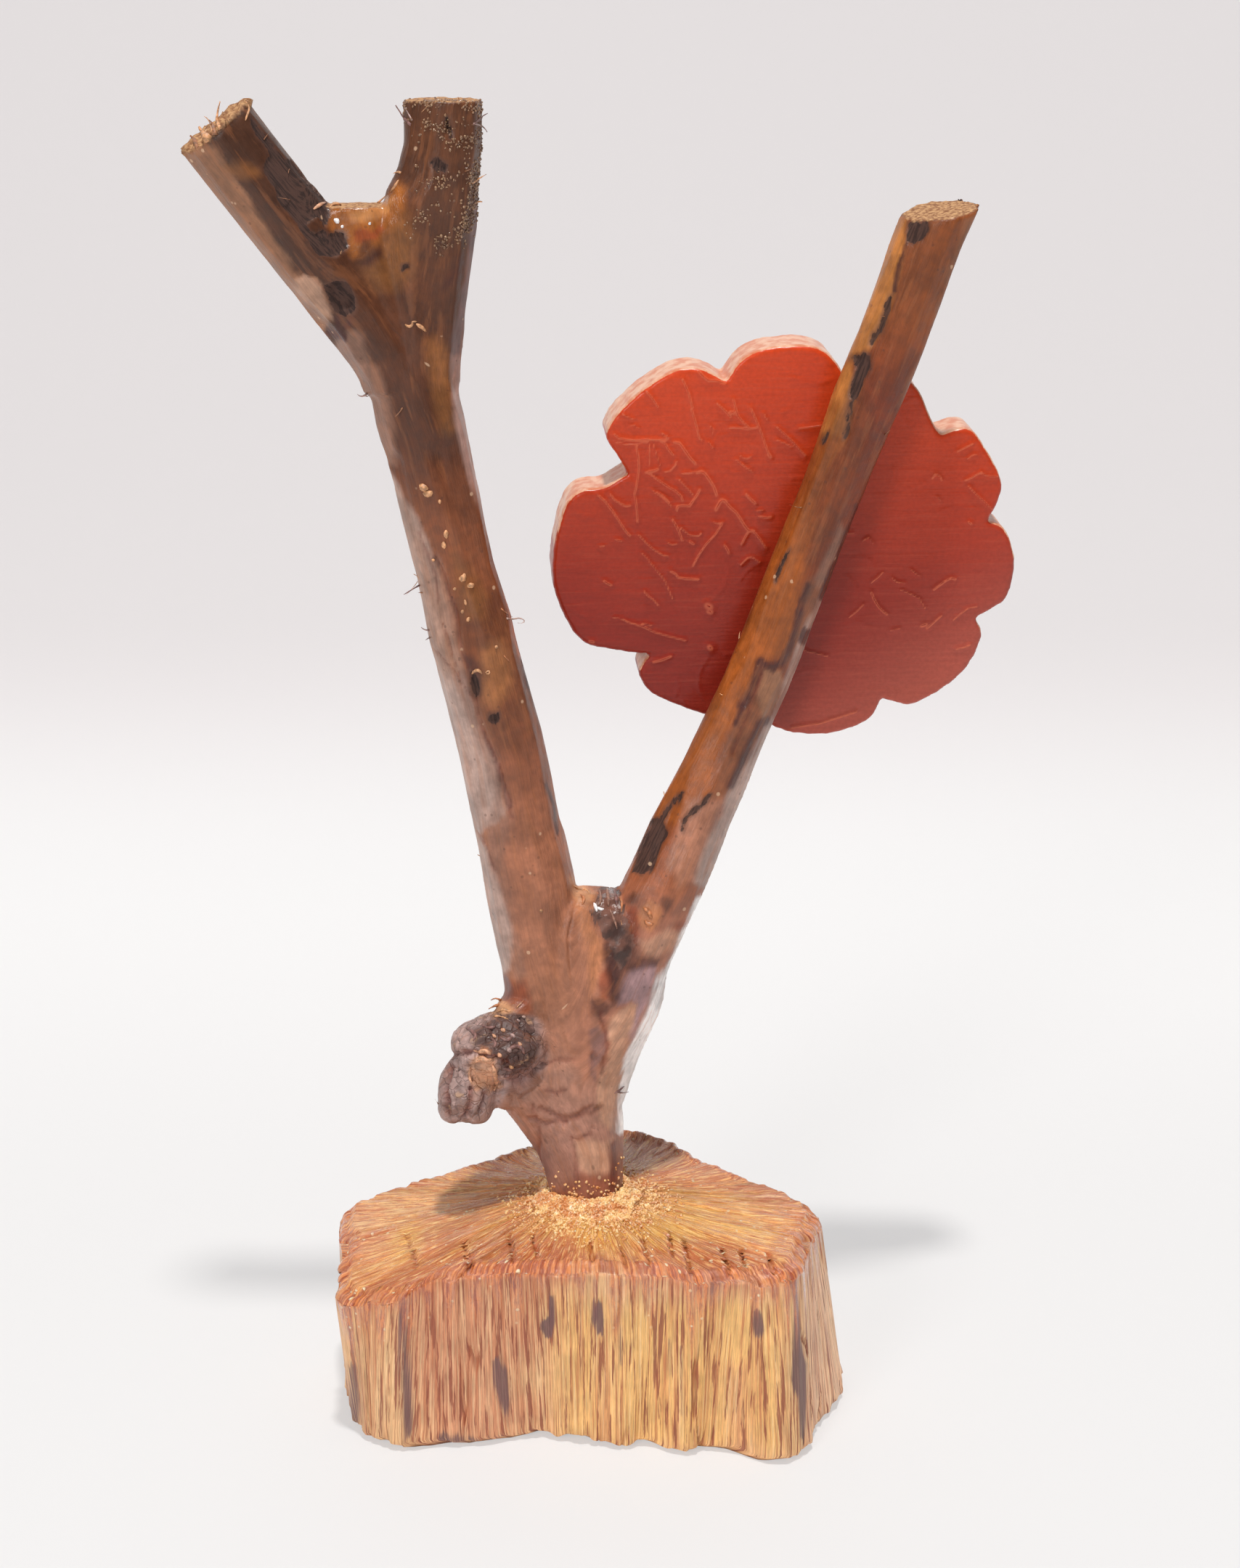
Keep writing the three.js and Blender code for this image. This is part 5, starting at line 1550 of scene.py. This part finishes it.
def laid_path(tree, path):
    """Points for a path of pixels that starts on a piece: on its skin for as long as it is seen
    there, then in the air as far before the camera as the last one. Tells if it ends in the air."""
    points, depth, free = [], None, False
    for pixel in path:
        toward = sight_line(pixel)
        hit = tree.ray_cast(CAMERA_AT, toward)[0]
        here = None if hit is None else pixels_of([hit])[1][0]
        free = here is None or (depth is not None and abs(here - depth) > 4 * MM)
        if free and depth is None:
            continue
        if free:
            hit = CAMERA_AT + toward * (depth / -(CAMERA_TURN.transposed() @ toward).z)
        else:
            depth = here
        points.append(hit)
    return np.array(points), free


def strand_radii(points, half_width, free):
    """Thinner to a free tip, or to both ends of a strand that lies down."""
    share = np.linspace(0, 1, len(points))
    shape = 1 - 0.75 * share if free else 0.35 + 0.65 * np.sin(math.pi * share) ** 0.6
    return half_width * shape * (1 + 0.35 * noise_at(points, 0.9 * MM, 21))


def strand_piece(name, strands):
    """Closed, tapered tubes, each from its points and its radii."""
    shape = bmesh.new()
    for points, radii in strands:
        rings, side = [], Vector((0.3, 1, 0.2))
        for point, toward, radius in zip(points, np.gradient(points, axis=0), radii):
            toward = Vector(toward).normalized()
            side = (side - toward * side.dot(toward)).normalized()
            over = toward.cross(side)
            turns = [2 * math.pi * k / STRAND_SIDES for k in range(STRAND_SIDES)]
            rings.append([shape.verts.new(Vector(point) + (side * math.cos(a) + over * math.sin(a)) * radius)
                          for a in turns])
        for ring, after in zip(rings, rings[1:]):
            for k in range(STRAND_SIDES):
                shape.faces.new((ring[k - 1], ring[k], after[k], after[k - 1]))
        shape.faces.new(rings[0])
        shape.faces.new(rings[-1])
    bmesh.ops.recalc_face_normals(shape, faces=shape.faces)
    mesh = bpy.data.meshes.new(name)
    shape.to_mesh(mesh)
    shape.free()
    mesh.shade_smooth()
    return new_piece(name, mesh)


def photo_strands(host, lines):
    """Strands on a piece where the photograph shows them, from half widths in pixels and pixels.
    A line that misses the piece gives None."""
    tree, strands = tree_of(host.data), []
    for half_width, corners in lines:
        points, free = laid_path(tree, eased_path(pixel_list(corners), 3))
        radii = strand_radii(points, half_width * PIXEL, free) if len(points) > 2 else None
        strands.append(None if radii is None else (points, radii))
    return strands


def stray_hairs(branch, draws):
    """Short fibres that the knife raised, all over the branch."""
    points, normals = points_of(branch.data), normals_of(branch.data)
    strands = []
    for at in draws.integers(0, len(points), STRAY_HAIRS):
        lean = normals[at] * 0.5 + draws.normal(0, 0.5, 3)
        curl = draws.normal(0, 0.5, 3)
        run = np.linspace(0, draws.uniform(0.8, 2.2) * MM, 6)[:, None]
        path = points[at] + lean * run + curl * run**2 / (2 * MM)
        strands.append((path, strand_radii(path, draws.uniform(0.08, 0.16) * MM, True)))
    return strands


def make_loose_bits(branch):
    """Hairs, splinters and crumbs of sawdust that stuck to the varnished wood, and a few white bits that are
    painted glints.
    """
    strands = photo_strands(branch, [bit[1:] for bit in LOOSE_BITS])
    strands += stray_hairs(branch, np.random.default_rng(12))
    tones = [bit[0] for bit in LOOSE_BITS] + ["straw", "tan"] * (STRAY_HAIRS // 2)
    bits = [(tone, strand) for tone, strand in zip(tones, strands) if strand]
    piece = strand_piece("loose_bits", [strand for _, strand in bits])
    colours = [np.tile(under_varnish(TONES[tone]), (len(points) * STRAND_SIDES, 1))
               for tone, (points, _) in bits]
    mesh = piece.data
    points = points_of(mesh)
    move_points(mesh, points + normals_of(mesh) * 0.1 * MM * rough_noise(points, 0.5 * MM, 22, 2)[:, None])
    keep_colour(mesh, "tone", np.concatenate(colours))
    material, tree, shader = new_material("loose fibres and crumbs")
    mottle = clouds(tree, on_object(tree), 1500.0, 3.0)
    colour = shaded(tree, attribute(tree, "tone", "Color"), mottle, 0.3, 0.7, 0.6, 1.35)
    finish_with(tree, shader, colour, ranged(tree, mottle, 0.3, 0.7, 0.3, 0.6), mottle, 0.15 * MM)
    mesh.materials.append(material)
    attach(piece, "root")


# Flower

BOARD_VOXEL = 0.43 * MM
BOARD_TILT = Matrix.Rotation(math.radians(4.5), 3, "Z") @ Matrix.Rotation(math.radians(4), 3, "X")
FLOWER_MIDDLE = Vector((39, 20, 165)) * MM
STRAY_RIDGES = 46
BACK_CORNERS = ((-44, -38), (44, 48))  # millimetres across and up from the flower's middle


def board_places(points):
    """Places in the board's own frame: X across its face, Z up it, Y away from the viewer."""
    return (points - np.array(FLOWER_MIDDLE)) @ np.array(BOARD_TILT)


def stray_ridges(places, draws):
    """Short hooked ridges that a loaded brush leaves."""
    flat = places[:, [0, 2]]
    height = np.zeros(len(places))
    for _ in range(STRAY_RIDGES):
        start = draws.uniform(*BACK_CORNERS) * MM
        heading = draws.uniform(0, 2 * math.pi)
        bend = draws.uniform(-0.5, 0.5)
        width = draws.uniform(0.25, 0.45) * MM
        corners = [start]
        for _ in range(draws.integers(3, 8)):
            corners.append(corners[-1] + 1.4 * MM * np.array([math.cos(heading), math.sin(heading)]))
            heading += bend
        for a, b in zip(corners, corners[1:]):
            along = b - a
            share = np.clip((flat - a) @ along / (along @ along), 0, 1)
            gap = np.linalg.norm(flat - a - share[:, None] * along, axis=1)
            height = np.maximum(height, np.exp(-((gap / width) ** 2)))
    return height


def painted_board():
    """The scalloped board with brush marks and ridges in its paint, and a rough sawn edge."""
    piece = skin_of("flower_disc", "scalloped_board", BOARD_VOXEL, 2)
    mesh = piece.data
    points, normals = points_of(mesh), normals_of(mesh)
    places = board_places(points)
    view = PhotoView(mesh)
    outward = normals @ np.array(BOARD_TILT)
    face = smoothstep(0.5, 0.9, np.abs(outward[:, 1]))
    front, back = face * (outward[:, 1] < 0), face * (outward[:, 1] > 0)
    ridges = np.max([view.stroke(1.2 * ridge_highlight[0], ridge_highlight[1]) for ridge_highlight in PAINT_RIDGES], axis=0) * front
    strays = stray_ridges(places, np.random.default_rng(8)) * (back + 0.35 * front)
    lift = 0.3 * ridges + 0.3 * strays
    lift += 0.05 * noise_at(places, mm(26, 9, 1.3), 82) * face + 0.09 * rough_noise(points, 5 * MM, 83, 2)
    lift += (1 - face) * 0.16 * rough_noise(places, mm(1.4, 8, 1.4), 84, 2)
    move_points(mesh, points + normals * lift[:, None] * MM)
    keep_place(mesh, "board", places)
    # Edges that face down or sideways count as face, so the pale edge shows only where it faces up: partly
    # wear, partly painted light from above.
    keep_mask(mesh, "face", np.maximum(face, 0.75 * smoothstep(0.35, 0, outward[:, 2])))
    # This mask paints highlights along the ridges.
    keep_mask(mesh, "ridge_highlight", np.maximum(ridges, strays))
    return piece


def painted_ridges(board, material):
    """The ridges of thick paint on the board's face."""
    strands = [strand for strand in photo_strands(board, PAINT_RIDGES) if strand]
    piece = strand_piece("paint_ridges", [(path, 0.2 * radii) for path, radii in strands])
    mesh = piece.data
    points = points_of(mesh)
    keep_place(mesh, "board", board_places(points))
    keep_mask(mesh, "face", np.ones(len(points)))
    # The ridges carry the enamel's painted highlight.
    keep_mask(mesh, "ridge_highlight", 0.55 + 0.3 * noise_at(points, 1.5 * MM, 86))
    mesh.materials.append(material)
    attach(piece, "root")


def enamel(tone):
    return [*under_varnish(tone), 1]


def enamel_material():
    """Thick red-orange enamel, brushed, rubbed thin and pale on the sawn edge where it faces up, partly wear
    and partly painted light. It carries painted shade towards the bottom, a painted shadow of the right
    limb, and painted highlights on its ridges.
    """
    material, tree, shader = new_material("red enamel on wood")
    place = attribute(tree, "board", "Vector")
    face, ridge_highlight = attribute(tree, "face"), attribute(tree, "ridge_highlight")
    across, _, up = wire(tree, "ShaderNodeSeparateXYZ", {0: place}).outputs
    cloud, grit, flaky = (clouds(tree, place, scale, 4.0) for scale in (38.0, 1300.0, 420.0))
    squashed = wire(tree, "ShaderNodeMapping", {0: place, "Scale": (0.06, 0.4, 1)}, vector_type="POINT")
    brushed = clouds(tree, squashed.outputs[0], 1500.0, 3.0)

    # Painted shade: darker towards the bottom of the board.
    painted_shade_height = plus(tree, up, times(tree, cloud, 0.03))
    colour = mixed(tree, ranged(tree, painted_shade_height, 0.0, 0.068), enamel((144, 55, 42)), enamel((208, 78, 50)))
    # Painted shadow of the right limb: darker towards the right and bottom of the board.
    right = ranged(tree, maths(tree, "SUBTRACT", across, up), 0.01, 0.06)
    colour = covered(tree, colour, right, 0.5, enamel((146, 54, 42)))
    # Lighter and pinker towards the lower right.
    low = maths(tree, "SUBTRACT", times(tree, across, 0.6), up)
    colour = mixed(tree, ranged(tree, low, 0.01, 0.045, 0, 0.9), colour, enamel((178, 92, 78)))
    colour = stained(tree, colour, brushed, 0.5, 0.7, 0.09, (196, 98, 72))
    colour = stained(tree, colour, brushed, 0.5, 0.3, 0.1, (120, 44, 36))
    colour = shaded(tree, colour, grit, 0.3, 0.7, 0.93, 1.07)
    # Painted highlight along the ridges of paint.
    colour = stained(tree, colour, ridge_highlight, 0.45, 0.85, 0.5, (220, 112, 76))
    # The pale sawn edge: partly wear, partly painted light where the edge faces up.
    worn_and_lit_edge = mixed(tree, ranged(tree, flaky, 0.35, 0.65), paint(206, 128, 92), paint(224, 180, 150))
    thin = plus(tree, maths(tree, "SUBTRACT", 1.0, face), times(tree, flaky, 0.7))
    colour = mixed(tree, ranged(tree, thin, 0.75, 1.15, 0, 0.92), colour, worn_and_lit_edge)

    roughness = ranged(tree, cloud, 0.3, 0.7, 0.3, 0.42)
    height = plus(tree, brushed, times(tree, grit, 0.3))
    coat = ranged(tree, cloud, 0.2, 0.8, 0.1, 0.24)
    shader.inputs["Coat Roughness"].default_value = 0.2
    shader.inputs["Specular IOR Level"].default_value = 0.22
    finish_with(tree, shader, colour, roughness, height, 0.07 * MM, coat)
    return material


def make_flower():
    board, material = painted_board(), enamel_material()
    board.data.materials.append(material)
    painted_ridges(board, material)
    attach(board, "root")
    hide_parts("flower_disc")


# Stage

FLOOR_FRONT, FLOOR_BACK, FLOOR_SIDE = -1.6, 0.9, 2.5
SWEEP_RADIUS, SWEEP_STEPS, BACKDROP_TOP = 0.6, 16, 2.4
LIT_MIDDLE = Vector((0, 0, 120)) * MM


def make_floor():
    """A pale sheet that lies flat and sweeps up behind the ornament."""
    profile = [(FLOOR_FRONT, 0), (FLOOR_BACK, 0)]
    for step in range(1, SWEEP_STEPS + 1):
        turn = step / SWEEP_STEPS * math.pi / 2
        profile.append((FLOOR_BACK + SWEEP_RADIUS * math.sin(turn), SWEEP_RADIUS * (1 - math.cos(turn))))
    profile.append((FLOOR_BACK + SWEEP_RADIUS, BACKDROP_TOP))
    points = [(x, y, z) for x in (-FLOOR_SIDE, FLOOR_SIDE) for y, z in profile]
    count = len(profile)
    faces = [(k, count + k, count + k + 1, k + 1) for k in range(count - 1)]
    floor = piece_of("pale_floor", points, faces)
    floor.data.shade_smooth()
    material, tree, shader = new_material("pale paper")
    shader.inputs["Roughness"].default_value = 0.9
    back = wire(tree, "ShaderNodeSeparateXYZ", {0: on_object(tree)}).outputs[1]
    seen = wire(tree, "ShaderNodeLightPath").outputs["Is Camera Ray"]
    paper = mixed(tree, ranged(tree, back, 0.3, 0.6), paint(152, 152, 152), paint(148, 142, 143))
    tree.links.new(mixed(tree, seen, paint(238, 238, 238), paper), shader.inputs["Base Color"])
    shader.inputs["Emission Color"].default_value = (1, 0.985, 0.98, 1)
    glow = plus(tree, 0.5, ranged(tree, back, 0.05, 0.3, 0, 0.06))
    glow = plus(tree, glow, ranged(tree, back, 0.35, 0.7, 0, -0.1))
    tree.links.new(times(tree, seen, glow), shader.inputs["Emission Strength"])
    floor.data.materials.append(material)


def make_camera():
    camera = bpy.data.cameras.new("photograph")
    camera.sensor_fit = "AUTO"
    camera.sensor_width = SENSOR
    camera.lens = SENSOR * FOCAL_PIXELS / PHOTO_SIZE[1]
    camera.clip_start, camera.clip_end = 0.02, 20
    at = new_piece("photograph", camera)
    at.location = CAMERA_AT
    at.rotation_euler = CAMERA_TURN.to_euler()
    bpy.context.scene.camera = at


def make_lamp(name, toward, distance, size, power, colour=(1, 1, 1)):
    lamp = bpy.data.lights.new(name, "AREA")
    lamp.shape = "DISK"
    lamp.size = size
    lamp.energy = power
    lamp.color = colour
    at = new_piece(name, lamp)
    at.location = LIT_MIDDLE + Vector(toward).normalized() * distance
    at.rotation_euler = (at.location - LIT_MIDDLE).to_track_quat("Z", "Y").to_euler()


def make_light():
    make_lamp("softbox_above", (0.04, -0.19, 1), 2.6, 0.2, 55, (1, 0.97, 0.94))
    make_lamp("softbox_front", (-0.5, -1, 0.5), 1.6, 0.45, 7.6)
    world = bpy.data.worlds.new("studio")
    world.use_nodes = True
    bpy.context.scene.world = world
    tree = world.node_tree
    background = tree.nodes["Background"]
    background.inputs[0].default_value = paint(238, 238, 242)
    seen = wire(tree, "ShaderNodeLightPath").outputs["Is Camera Ray"]
    tree.links.new(ranged(tree, seen, 0, 1, 0.34, 0.92), background.inputs[1])
    bpy.context.scene.view_settings.view_transform = "Standard"


make_camera()
make_floor()
make_light()
block = make_block()
branch = make_branch()
make_sawdust(branch, block)
make_loose_bits(branch)
make_flower()
make_glue_pad()
